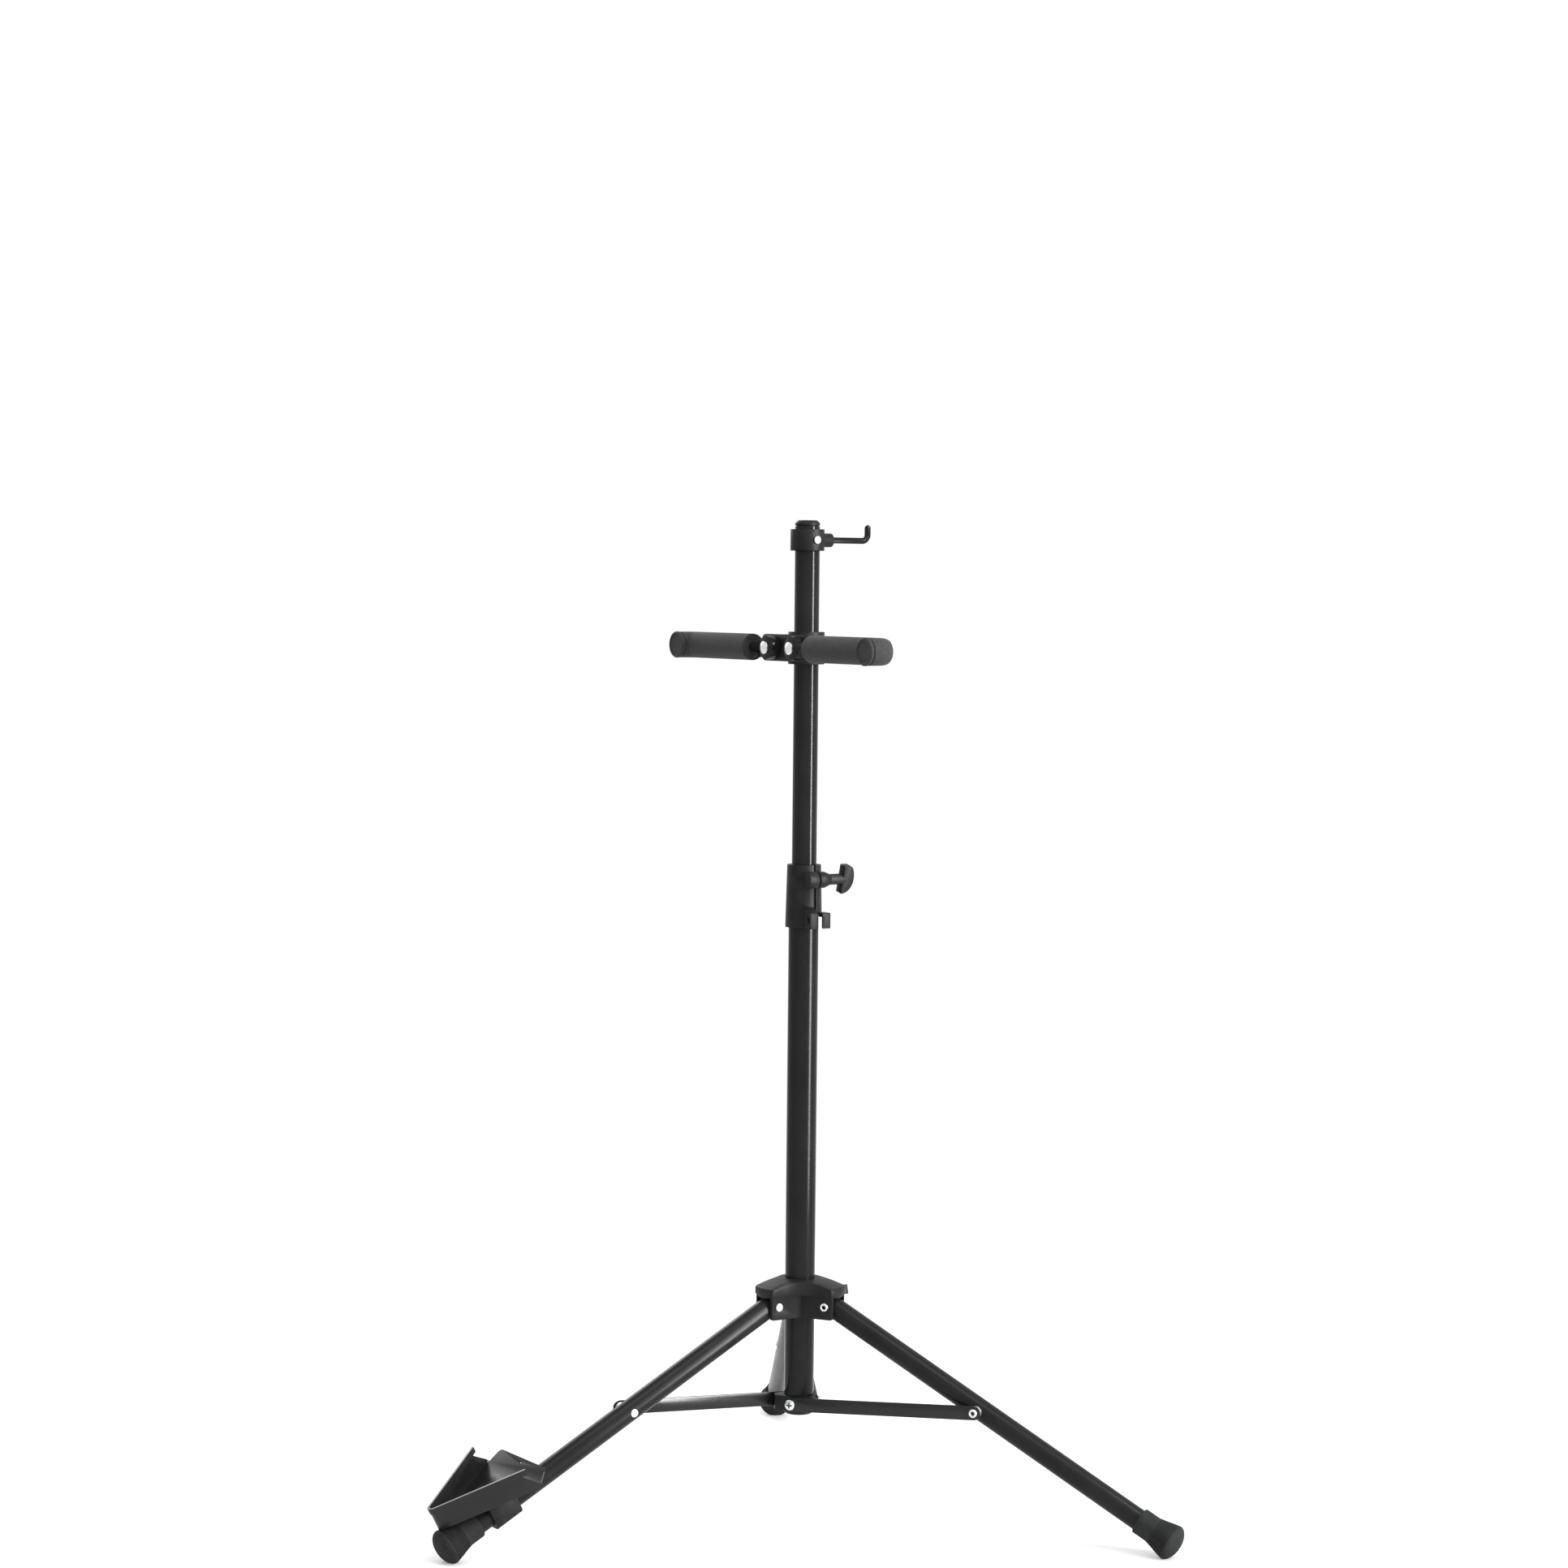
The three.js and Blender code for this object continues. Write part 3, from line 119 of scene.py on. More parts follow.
# Rivets: a hub arm's half width, the shanks, the round head and the spacer behind a brace.
# HUB_SHANK_START is how far inside the arm's face the tube of the hub's shank starts.
HUB_CHEEK = 13.8 * MM
HUB_SHANK = 3 * MM
HUB_SHANK_START = 2.6 * MM
LEG_SHANK = 2.5 * MM
SHANK_WALL = 1.2 * MM
RIVET_HEAD_HEIGHT = 1.5 * MM
HEAD_RIM_SHARE = 0.35
HEAD_SINK = 0.1 * MM
SPACER_RADIUS = 5.5 * MM
SPACER_BITE = 0.2 * MM

# The rolled hollow end of a rivet
ROLL_HEIGHT = 1.3 * MM
ROLL_SHARES = (0.3, 0.7)
ROLL_BORE = 1.8 * MM
ROLL_FLOOR = 0.4 * MM
ROLL_ARC = (math.radians(-20), math.radians(200))
HUB_ROLL_EXTRA = 0.1 * MM
HUB_ROLL_DEPTH = 2.5 * MM
BRACE_ROLL_RADIUS = 3.9 * MM
RECESS_MARGIN = 0.1 * MM

# The cross recess in the head of a brace's screw, whose faces get painted shade: arms, and depths from
# the brace
CROSS_HALF_WIDTH = 0.7 * MM
CROSS_REACH = 2.9 * MM
CROSS_DEPTHS = (0.5 * MM, 2.65 * MM)

# How edges are found, merged and rounded
MERGE_DISTANCE = 1e-6
FLAT_ANGLE = math.radians(1)
SMOOTH_ANGLE = math.radians(32)
EDGE_ANGLE = math.radians(35)
RIM_ANGLE = math.radians(50)
TUBE_EDGE = 0.4 * MM
BRACE_EDGE = 0.4 * MM
ARM_EDGE = 0.4 * MM
TRAY_EDGE = 0.35 * MM
PEG_EDGE = 0.3 * MM
FOOT_EDGE = 1.2 * MM
SPACER_EDGE = 0.4 * MM
STEM_EDGE = 0.6 * MM
WING_CORNER = 0.8 * MM
WING_EDGE = 1.1 * MM
CORNER_STEPS = 3
CORNER_RUN_SHARE = 0.45

# How many flat sides a turned shape has
TUBE_SIDES = 72
FOOT_SIDES = 72
STEM_SIDES = 48
SPACER_SIDES = 40
RIVET_SIDES = 32

# Lays a shape that stands on Z along another axis
ALONG_X = Matrix.Rotation(QUARTER_TURN, 4, "Y")
ALONG_Y = Matrix.Rotation(-QUARTER_TURN, 4, "X")
ALONG_MINUS_Y = Matrix.Rotation(QUARTER_TURN, 4, "X")

# Nodes that keep their own shape and only get softer edges
MOULDED_NODES = (
    "leg_hub", "lower_hub", "height_collar", "head_bracket", "tray_saddle", "peg_clip",
    "inner_tube_cap", "inner_tube_guide")
PLATED_NODES = (
    "height_nut", "height_stud", "hub_stud", "saddle_bolt", "saddle_nut",
    "tray_screw_right", "tray_screw_left", "head_bolt", "head_nut", "peg_screw",
    "arm_bolt_right", "arm_bolt_left", "arm_nut_right", "arm_nut_left")

# The photograph's camera: its distance from the mast, height, turn, tilt, roll and lens
CAMERA_DISTANCE = 3.329
CAMERA_HEIGHT = 0.876
CAMERA_AZIMUTH = math.radians(56.25)
CAMERA_PAN = -0.005893
CAMERA_TILT = 0.057571
CAMERA_ROLL = 0.009919
CAMERA_FOCAL_PIXELS = 4393.7
IMAGE_PIXELS = 1932
SENSOR_WIDTH = 36

# The finish that each material slot of the record is shown with
SLOT_FINISHES = {
    "painted_steel": "powder_coat",
    "black_plastic": "moulded_nylon",
    "rubber_foot": "foot_rubber",
    "foam_sleeve": "sleeve_foam",
    "zinc_plated_steel": "zinc_plate",
}

# How far finishes that share one colour setting differ from it
LEG_ROUGHER = 0.09
TRAY_ROUGHER = 0.05
TRAY_REFLECTION = 0.3
KNOB_LIGHTER = 1.5
# Painted shade: the zinc inside a recess is this share of the zinc's colour
RECESS_PAINTED_SHADE = 0.08

# The white surroundings: the world's soft light on the object, where 1 is white, and the floor
AMBIENT = 0.75
FLOOR_RADIUS = 6
FLOOR_FADE = (0.5, 1.6)
FLOOR_PALE = (0.93, 0.93, 0.93)
FLOOR_GLOW = (0.2, 0.2, 0.2)
FAR_GLOW = (0.15, 0.15, 0.15)
BLACK = (0, 0, 0)
WHITE = (1, 1, 1)

# Where a Mix node keeps its share, its two colours and their result
MIX_SHARE, MIX_FIRST, MIX_SECOND, MIX_RESULT = 0, 6, 7, 2

mast_low, mast_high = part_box("main_tube")
MAST = Vector(((mast_low.x + mast_high.x) / 2, (mast_low.y + mast_high.y) / 2, 0))
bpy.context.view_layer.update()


# Settings

class StandPaint(bpy.types.PropertyGroup):
    colour: FloatVectorProperty(
        name="Paint", description="Satin black powder coat on the tubes and sheet",
        subtype="COLOR", size=3, min=0, max=1, default=(0.0148, 0.0146, 0.0144))
    roughness: FloatProperty(
        name="Paint roughness", description="Mean roughness of the powder coat",
        min=0, max=1, default=0.19)
    inner_roughness: FloatProperty(
        name="Inner tube roughness", description="Mean roughness of the glossier sliding tube",
        min=0, max=1, default=0.09)
    inner_colour: FloatVectorProperty(
        name="Inner tube paint", description="Glossier paint on the sliding tube",
        subtype="COLOR", size=3, min=0, max=1, default=(0.0175, 0.0175, 0.0185))
    tray_colour: FloatVectorProperty(
        name="Tray paint", description="Powder coat on the folded tray",
        subtype="COLOR", size=3, min=0, max=1, default=(0.0095, 0.0099, 0.0099))


class StandMouldings(bpy.types.PropertyGroup):
    plastic_colour: FloatVectorProperty(
        name="Plastic", description="Moulded hub, collar and knobs",
        subtype="COLOR", size=3, min=0, max=1, default=(0.016, 0.016, 0.0166))
    rubber_colour: FloatVectorProperty(
        name="Rubber", description="Rubber feet",
        subtype="COLOR", size=3, min=0, max=1, default=(0.023, 0.0238, 0.0236))
    foam_colour: FloatVectorProperty(
        name="Foam", description="Foam sleeves of the support arms",
        subtype="COLOR", size=3, min=0, max=1, default=(0.04, 0.0405, 0.0415))
    roughness: FloatProperty(
        name="Plastic roughness", description="Mean roughness of the mouldings",
        min=0, max=1, default=0.45)
    knob_roughness: FloatProperty(
        name="Knob roughness", description="Mean roughness of the knobs",
        min=0, max=1, default=0.44)
    edge: FloatProperty(
        name="Edge radius", description="Softness of the moulded edges",
        subtype="DISTANCE", unit="LENGTH", min=0, default=0.5 * MM)


class StandFeet(bpy.types.PropertyGroup):
    rim: FloatProperty(
        name="Rim radius", description="Largest radius of a foot",
        subtype="DISTANCE", unit="LENGTH", default=16.9 * MM)
    sleeve: FloatProperty(
        name="Sleeve radius", description="Radius of the sleeve round the leg",
        subtype="DISTANCE", unit="LENGTH", default=12.25 * MM)
    grooves: IntProperty(
        name="Grooves", description="Grooves round the flared part", min=0, max=20, default=11)
    groove_depth: FloatProperty(
        name="Groove depth", description="How deep each groove is",
        subtype="DISTANCE", unit="LENGTH", default=0.8 * MM)


class StandPads(bpy.types.PropertyGroup):
    radius: FloatProperty(
        name="Sleeve radius", description="Outer radius of the foam sleeve",
        subtype="DISTANCE", unit="LENGTH", default=12.5 * MM)
    bend: FloatProperty(
        name="Bend radius", description="Radius of the elbow along the middle of the sleeve",
        subtype="DISTANCE", unit="LENGTH", default=13 * MM)
    half_span: FloatProperty(
        name="Half span", description="Distance from the mast to the middle of a pad's end",
        subtype="DISTANCE", unit="LENGTH", default=159 * MM)
    forward: FloatProperty(
        name="Forward reach", description="How far a pad's end lies in front of the mast",
        subtype="DISTANCE", unit="LENGTH", default=45 * MM)
    lip: FloatProperty(
        name="Lip", description="How far the face of a pad's end lies behind its lip",
        subtype="DISTANCE", unit="LENGTH", default=0.6 * MM)
    square: FloatProperty(
        name="Square", description="How far the elbow's outer corner is filled out",
        subtype="DISTANCE", unit="LENGTH", default=4.5 * MM)


class StandHardware(bpy.types.PropertyGroup):
    zinc_colour: FloatVectorProperty(
        name="Zinc", description="Bright zinc plate on rivets and screws",
        subtype="COLOR", size=3, min=0, max=1, default=(0.75, 0.76, 0.77))
    rivet_radius: FloatProperty(
        name="Rivet head", description="Radius of a rivet's head",
        subtype="DISTANCE", unit="LENGTH", default=3.8 * MM)
    edge: FloatProperty(
        name="Edge radius", description="Softness of the turned edges",
        subtype="DISTANCE", unit="LENGTH", default=0.15 * MM)


SETTINGS = {
    "stand_paint": StandPaint,
    "stand_mouldings": StandMouldings,
    "stand_feet": StandFeet,
    "stand_pads": StandPads,
    "stand_hardware": StandHardware,
}


# Shader helpers

class Wire:
    """An output socket whose arithmetic adds Math nodes."""

    def __init__(self, tree, socket):
        self.tree = tree
        self.socket = socket

    def math(self, operation, first, second):
        node = self.tree.nodes.new("ShaderNodeMath")
        node.operation = operation
        for socket, value in zip(node.inputs, (first, second)):
            feed(self.tree, socket, value)
        return Wire(self.tree, node.outputs[0])

    def __add__(self, other):
        return self.math("ADD", self, other)

    __radd__ = __add__

    def __sub__(self, other):
        return self.math("SUBTRACT", self, other)

    def __rsub__(self, other):
        return self.math("SUBTRACT", other, self)

    def __mul__(self, other):
        return self.math("MULTIPLY", self, other)

    __rmul__ = __mul__


def feed(tree, socket, value):
    """Links a wire to a socket, or sets a plain value on it."""
    if isinstance(value, Wire):
        tree.links.new(value.socket, socket)
    else:
        socket.default_value = value


def shown_rays(tree):
    """1 for what is seen directly, in gloss or through glass, and 0 for light on a surface."""
    rays = tree.nodes.new("ShaderNodeLightPath")
    camera, glossy, clear = (
        Wire(tree, rays.outputs[f"Is {kind} Ray"]) for kind in ("Camera", "Glossy", "Transmission"))
    return camera + glossy + clear


class Finish:
    """One material: a Principled surface with patterns in Object coordinates."""

    def __init__(self, name):
        self.material = bpy.data.materials.new(name)
        self.material.use_nodes = True
        self.tree = self.material.node_tree
        self.tree.nodes.clear()
        self.surface = self.tree.nodes.new("ShaderNodeBsdfPrincipled")
        self.output = self.tree.nodes.new("ShaderNodeOutputMaterial")
        self.show(Wire(self.tree, self.surface.outputs[0]))
        self.position = self.node("ShaderNodeTexCoord", output="Object")

    def show(self, shader):
        feed(self.tree, self.output.inputs["Surface"], shader)

    def node(self, kind, settings=None, sockets=None, output=0):
        node = self.tree.nodes.new(kind)
        for name, value in (settings or {}).items():
            setattr(node, name, value)
        for name, value in (sockets or {}).items():
            feed(self.tree, node.inputs[name], value)
        return Wire(self.tree, node.outputs[output])

    def set(self, **values):
        """Feeds the surface's own sockets, named with underscores for spaces."""
        for name, value in values.items():
            feed(self.tree, self.surface.inputs[name.replace("_", " ")], value)

    def reflect(self, level):
        """How strongly the surface reflects, where 0.5 is a plain 4 % coating."""
        self.surface.inputs["Specular IOR Level"].default_value = level

    def noise(self, size, detail=2.0, roughness=0.5):
        """Noise from 0 to 1 whose features are about the given size in metres."""
        sockets = {"Vector": self.position, "Scale": 1 / size, "Detail": detail, "Roughness": roughness}
        return self.node("ShaderNodeTexNoise", sockets=sockets, output="Fac")

    def cells(self, size):
        """The distance from the middle of the nearest cell, with cells of about the given size."""
        sockets = {"Vector": self.position, "Scale": 1 / size}
        return self.node("ShaderNodeTexVoronoi", sockets=sockets, output="Distance")

    def clamp(self, value, low, high):
        """Values from low to high become 0 to 1."""
        sockets = {"Value": value, "From Min": low, "From Max": high}
        return self.node("ShaderNodeMapRange", sockets=sockets)

    def blend(self, share, first, second):
        """A colour between two, each of them a wire or a plain colour."""
        first, second = (
            colour if isinstance(colour, Wire) else (*colour, 1.0) for colour in (first, second))
        sockets = {MIX_SHARE: share, MIX_FIRST: first, MIX_SECOND: second}
        return self.node("ShaderNodeMix", {"data_type": "RGBA"}, sockets, MIX_RESULT)

    def shades(self, share, colour, low, high):
        """The colour times low where the share is 0, and times high where it is 1."""
        return self.blend(share, scaled(colour, low), scaled(colour, high))

    def bump(self, height, depth, strength):
        sockets = {"Height": height, "Distance": depth, "Strength": strength}
        self.set(Normal=self.node("ShaderNodeBump", sockets=sockets))


def scaled(colour, factor):
    return tuple(min(1.0, channel * factor) for channel in colour)


def paint_finish(name, colour, roughness, reflection=0.1):
    """Satin powder coat: fine orange peel, uneven tone from handling and a few paler scuffs."""
    paint = Finish(name)
    peel = paint.noise(1.1 * MM, detail=1.0)
    handling = paint.noise(38 * MM, detail=4.0)
    scuffs = paint.clamp(paint.noise(6 * MM, detail=5.0, roughness=0.7), 0.6, 0.74)
    tone = paint.shades(paint.clamp(handling, 0.35, 0.7), colour, low=0.85, high=1.2)
    tone = paint.blend(scuffs * 0.35, tone, scaled(colour, 2.2))
    paint.set(Base_Color=tone, Roughness=roughness + (handling - 0.5) * 0.12 + scuffs * 0.08)
    paint.reflect(reflection)
    paint.bump(peel + scuffs * 0.25, depth=0.02 * MM, strength=0.15)
    return paint.material


def plastic_finish(name, colour, roughness):
    """Moulded nylon: a fine sparked texture and slight cloudiness from the mould."""
    plastic = Finish(name)
    grain = plastic.noise(0.35 * MM, detail=3.0, roughness=0.65)
    cloud = plastic.noise(14 * MM, detail=3.0)
    rubbed = plastic.clamp(plastic.noise(4 * MM, detail=6.0, roughness=0.75), 0.58, 0.75)
    tone = plastic.shades(plastic.clamp(cloud, 0.35, 0.68), colour, low=0.82, high=1.28)
    tone = plastic.blend(rubbed * 0.4, tone, scaled(colour, 2.1))
    plastic.set(Base_Color=tone, Roughness=roughness + (grain - 0.5) * 0.2 - rubbed * 0.08)
    plastic.reflect(0.1)
    plastic.bump(grain, depth=0.05 * MM, strength=0.55)
    return plastic.material


def rubber_finish(name, colour):
    """Matt rubber with a dusty bloom and a fine skin."""
    rubber = Finish(name)
    skin = rubber.noise(0.6 * MM, detail=4.0, roughness=0.7)
    bloom = rubber.clamp(rubber.noise(9 * MM, detail=5.0), 0.4, 0.75)
    tone = rubber.shades(bloom * 0.6, colour, low=0.85, high=1.7)
    rubber.set(Base_Color=tone, Roughness=0.72 + bloom * 0.12)
    rubber.reflect(0.1)
    rubber.bump(skin, depth=0.06 * MM, strength=0.7)
    return rubber.material


def foam_finish(name, colour):
    """Closed cell foam: cells under a millimetre across, with a soft mottle."""
    foam = Finish(name)
    pores = foam.clamp(foam.cells(0.8 * MM), 0.12, 0.6)
    mottle = foam.noise(5 * MM, detail=4.0)
    tone = foam.shades(pores, colour, low=0.55, high=1.12)
    tone = foam.blend(foam.clamp(mottle, 0.45, 0.8) * 0.4, tone, scaled(colour, 1.6))
    foam.set(Base_Color=tone, Roughness=0.9 - pores * 0.08, Sheen_Weight=0.08)
    foam.reflect(0.2)
    foam.bump(pores + foam.noise(2.5 * MM) * 0.8, depth=0.12 * MM, strength=0.7)
    return foam.material


def zinc_finish(name, colour):
    """Bright zinc plate with a fine grain and cloudy patches."""
    zinc = Finish(name)
    cloud = zinc.noise(2.2 * MM, detail=4.0)
    grain = zinc.noise(0.25 * MM)
    tone = zinc.shades(zinc.clamp(cloud, 0.35, 0.7), colour, low=0.86, high=1)
    zinc.set(Base_Color=tone, Metallic=1.0, Roughness=0.32 + cloud * 0.16)
    zinc.bump(grain, depth=0.01 * MM, strength=0.5)
    return zinc.material


def finish(slot, coating=None):
    """The material that a slot is shown with, or a coating of its own."""
    return bpy.data.materials[coating or SLOT_FINISHES[slot]]


# Mesh helpers

def rounded(points, radius, closed=False):
    """The same outline with its corners, but not an open outline's ends, turned into short curves."""
    outline = []
    count = len(points)
    for index, point in enumerate(points):
        corner = Vector(point)
        if not closed and index in (0, count - 1):
            outline.append(corner)
            continue
        before = Vector(points[index - 1]) - corner
        after = Vector(points[(index + 1) % count]) - corner
        run = min(radius, before.length * CORNER_RUN_SHARE, after.length * CORNER_RUN_SHARE)
        start = corner + before.normalized() * run
        end = corner + after.normalized() * run
        for step in range(CORNER_STEPS + 1):
            share = step / CORNER_STEPS
            outline.append(start.lerp(corner, share).lerp(corner.lerp(end, share), share))
    return outline


def lathe(profile, sides, closed=False):
    """A turned solid about Z from (radius, height) points."""
    mesh = bmesh.new()
    ring = [mesh.verts.new((max(point[0], 0), 0, point[1])) for point in profile]
    pairs = list(zip(ring, ring[1:])) + ([(ring[-1], ring[0])] if closed else [])
    edges = [mesh.edges.new(pair) for pair in pairs]
    bmesh.ops.spin(mesh, geom=ring + edges, cent=(0, 0, 0), axis=(0, 0, 1), dvec=(0, 0, 0),
                   angle=math.tau, steps=sides, use_merge=True)
    bmesh.ops.remove_doubles(mesh, verts=mesh.verts, dist=MERGE_DISTANCE)
    bmesh.ops.recalc_face_normals(mesh, faces=mesh.faces)
    return mesh


def sharp_edges(mesh, angle):
    return [edge for edge in mesh.edges if len(edge.link_faces) == 2 and edge.calc_face_angle(0) > angle]


def soften(mesh, radius, angle=EDGE_ANGLE):
    """Rounds every edge sharper than the given angle."""
    bmesh.ops.bevel(mesh, geom=sharp_edges(mesh, angle), offset=radius, offset_type="OFFSET",
                    affect="EDGES", segments=2, profile=0.5, clamp_overlap=True, material=-1)
    return mesh


def only(items, kind):
    """The items of one kind among those that an operator returns."""
    return [item for item in items if isinstance(item, kind)]


def prism(outline, front, back, radius):
    """An outline in X and Z given its thickness along Y, with softened rims."""
    mesh = bmesh.new()
    face = mesh.faces.new([mesh.verts.new((x, front, z)) for x, z in outline])
    raised = bmesh.ops.extrude_face_region(mesh, geom=[face])["geom"]
    bmesh.ops.translate(mesh, verts=only(raised, bmesh.types.BMVert), vec=(0, back - front, 0))
    bmesh.ops.recalc_face_normals(mesh, faces=mesh.faces)
    return soften(mesh, radius, angle=RIM_ANGLE)


def grow_rim(mesh, rim):
    """Extrudes an open rim and returns the points and edges of the new one."""
    grown = bmesh.ops.extrude_edge_only(mesh, edges=rim)["geom"]
    verts = only(grown, bmesh.types.BMVert)
    edges = only(grown, bmesh.types.BMEdge)
    return verts, [edge for edge in edges if all(vert in verts for vert in edge.verts)]


def arc(start, end, steps):
    """Points on an arc of radius 1 about the origin, with both ends."""
    angles = [start + (end - start) * step / steps for step in range(steps + 1)]
    return [(math.cos(angle), math.sin(angle)) for angle in angles]


def place(mesh, matrix):
    bmesh.ops.transform(mesh, matrix=matrix, verts=mesh.verts)
    return mesh


def merged(*meshes):
    """Several separate solids in one bmesh."""
    whole = bmesh.new()
    for mesh in meshes:
        carrier = bpy.data.meshes.new("carrier")
        mesh.to_mesh(carrier)
        mesh.free()
        whole.from_mesh(carrier)
        bpy.data.meshes.remove(carrier)
    return whole


def add_piece(name, mesh, body, slot, *nodes, coating=None):
    """Finishes a closed bmesh as a piece that rides on a body and stands for the given nodes.

    Faces of material 1 are the inside of a recess, shown with painted shade."""
    if not mesh.faces or any(not edge.is_manifold for edge in mesh.edges):
        raise RuntimeError(f"{name} is not a closed solid")
    data = bpy.data.meshes.new(name)
    mesh.to_mesh(data)
    mesh.free()
    data.polygons.foreach_set("use_smooth", [True] * len(data.polygons))
    data.set_sharp_from_angle(angle=SMOOTH_ANGLE)
    data.materials.append(finish(slot, coating))
    # Faces inside a recess get a second, dark zinc that paints their shade
    if any(face.material_index for face in data.polygons):
        data.materials.append(finish(slot, "zinc_painted_shade"))
    piece = bpy.data.objects.new(name, data)
    bpy.context.scene.collection.objects.link(piece)
    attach(piece, body)
    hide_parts(*nodes)
    return piece


def body_of(node):
    for body, nodes in frame["record"]["behaviour"]["bodies"].items():
        if node in nodes:
            return body
    raise RuntimeError(f"{node} is on no body")


def dressed_copy(node, slot, radius, coating=None, recess=None):
    """A node's own shape with its facets merged and its edges softened.

    The recess test says which points lie inside a recess, whose faces get painted shade."""
    mesh = bmesh.new()
    mesh.from_mesh(frame["nodes"][node].data)
    bmesh.ops.remove_doubles(mesh, verts=mesh.verts, dist=MERGE_DISTANCE)
    bmesh.ops.recalc_face_normals(mesh, faces=mesh.faces)
    bmesh.ops.dissolve_limit(mesh, angle_limit=FLAT_ANGLE, verts=mesh.verts, edges=mesh.edges)
    soften(mesh, radius)
    # Faces inside the recess are marked for the dark zinc of painted shade
    if recess:
        for face in mesh.faces:
            face.material_index = int(recess(face.calc_center_median()))
    return add_piece(f"{node}_dressed", mesh, body_of(node), slot, node, coating=coating)


def side_matrix(side, height=0.0, radius=0.0):
    """Looks outwards along one leg from the mast: X outwards, Y to its left, Z up."""
    turn = Matrix.Rotation(LEG_AZIMUTHS[side], 4, "Z")
    return Matrix.Translation(MAST) @ turn @ Matrix.Translation((radius, 0, height))


def leg_matrix(side):
    """X along the leg from its hub pivot, Z square to it and upwards."""
    return side_matrix(side, HUB_PIVOT_HEIGHT, HUB_PIVOT_RADIUS) @ Matrix.Rotation(LEG_SLOPE, 4, "Y")


def link_matrix(side):
    """X along a brace from its pivot on the mast's foot."""
    slope = math.atan2(LINK_UP, LINK_OUT)
    return side_matrix(side, LOWER_PIVOT_HEIGHT) @ Matrix.Rotation(-slope, 4, "Y")


def tube_mesh(outer, wall, bottom, top):
    profile = [(outer - wall, bottom), (outer, bottom), (outer, top), (outer - wall, top)]
    return lathe(rounded(profile, TUBE_EDGE, closed=True), TUBE_SIDES, closed=True)


def head_mesh(radius):
    """A low round rivet head with an upright rim, which rises along Z from zero."""
    crown = arc(0, QUARTER_TURN, 8)[1:]
    rise = [HEAD_RIM_SHARE + (1 - HEAD_RIM_SHARE) * z for x, z in crown]
    dome = [(radius * x, RIVET_HEAD_HEIGHT * height) for (x, z), height in zip(crown, rise)]
    return lathe([(0, 0), (radius, 0)] + dome, RIVET_SIDES)


def rolled_end(radius, shank, depth):
    """A rolled hollow rivet end that rises along Z from zero, on a shank that reaches down."""
    half = (radius - ROLL_BORE) / 2
    low, rise = (ROLL_HEIGHT * share for share in ROLL_SHARES)
    rim = [(ROLL_BORE + half + half * x, low + rise * z) for x, z in arc(*ROLL_ARC, 10)]
    floor = ROLL_FLOOR - depth
    profile = [(0, -depth), (shank, -depth), (shank, 0), (radius, 0)] + rim
    mesh = lathe(profile + [(ROLL_BORE, floor), (0, floor)], RIVET_SIDES)
    # Faces inside the bore are marked for the dark zinc of painted shade
    for face in mesh.faces:
        centre = face.calc_center_median()
        in_shaded_bore = math.hypot(centre.x, centre.y) < ROLL_BORE + RECESS_MARGIN
        face.material_index = int(in_shaded_bore and floor - RECESS_MARGIN < centre.z < low)
    return mesh


# Pieces

class STAND_OT_finishes(bpy.types.Operator):
    """Make the finishes of the paint, plastic, rubber, foam and zinc"""
    bl_idname = "stand.finishes"
    bl_label = "Finishes"

    def execute(self, context):
        mouldings = context.scene.stand_mouldings
        paint = context.scene.stand_paint
        zinc = context.scene.stand_hardware.zinc_colour
        paint_finish("powder_coat", paint.colour, paint.roughness)
        paint_finish("gloss_paint", paint.inner_colour, paint.inner_roughness)
        paint_finish("leg_paint", paint.colour, paint.roughness + LEG_ROUGHER)
        paint_finish("tray_paint", paint.tray_colour, paint.roughness + TRAY_ROUGHER, TRAY_REFLECTION)
        plastic_finish("moulded_nylon", mouldings.plastic_colour, mouldings.roughness)
        knob_colour = scaled(mouldings.plastic_colour, KNOB_LIGHTER)
        plastic_finish("knob_nylon", knob_colour, mouldings.knob_roughness)
        rubber_finish("foot_rubber", mouldings.rubber_colour)
        foam_finish("sleeve_foam", mouldings.foam_colour)
        zinc_finish("zinc_plate", zinc)
        # A dark zinc that paints shade onto the inside of recesses
        zinc_finish("zinc_painted_shade", scaled(zinc, RECESS_PAINTED_SHADE))
        for entry in frame["record"]["subparts"]:
            for slot in frame["nodes"][entry["node"]].material_slots:
                slot.material = finish(entry["material_slot"])
        return {"FINISHED"}


class STAND_OT_tubes(bpy.types.Operator):
    """Turn the mast's two tubes and the three legs"""
    bl_idname = "stand.tubes"
    bl_label = "Tubes"

    def execute(self, context):
        upright = Matrix.Translation(MAST)
        low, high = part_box("main_tube")
        mesh = place(tube_mesh(MAST_RADIUS, TUBE_WALL, low.z, high.z), upright)
        add_piece("mast_tube", mesh, "mast", "painted_steel", "main_tube")
        low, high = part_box("inner_tube")
        mesh = place(tube_mesh(SLIDING_RADIUS, TUBE_WALL, low.z, high.z), upright)
        add_piece("sliding_tube", mesh, "upper_mast", "painted_steel", "inner_tube",
                  coating="gloss_paint")
        for side in SIDES:
            mesh = tube_mesh(LEG_RADIUS, TUBE_WALL, LEG_START, LEG_END)
            place(mesh, leg_matrix(side) @ ALONG_X)
            add_piece(f"leg_{side}_tube", mesh, f"leg_{side}", "painted_steel", f"leg_tube_{side}",
                      coating="leg_paint")
        return {"FINISHED"}


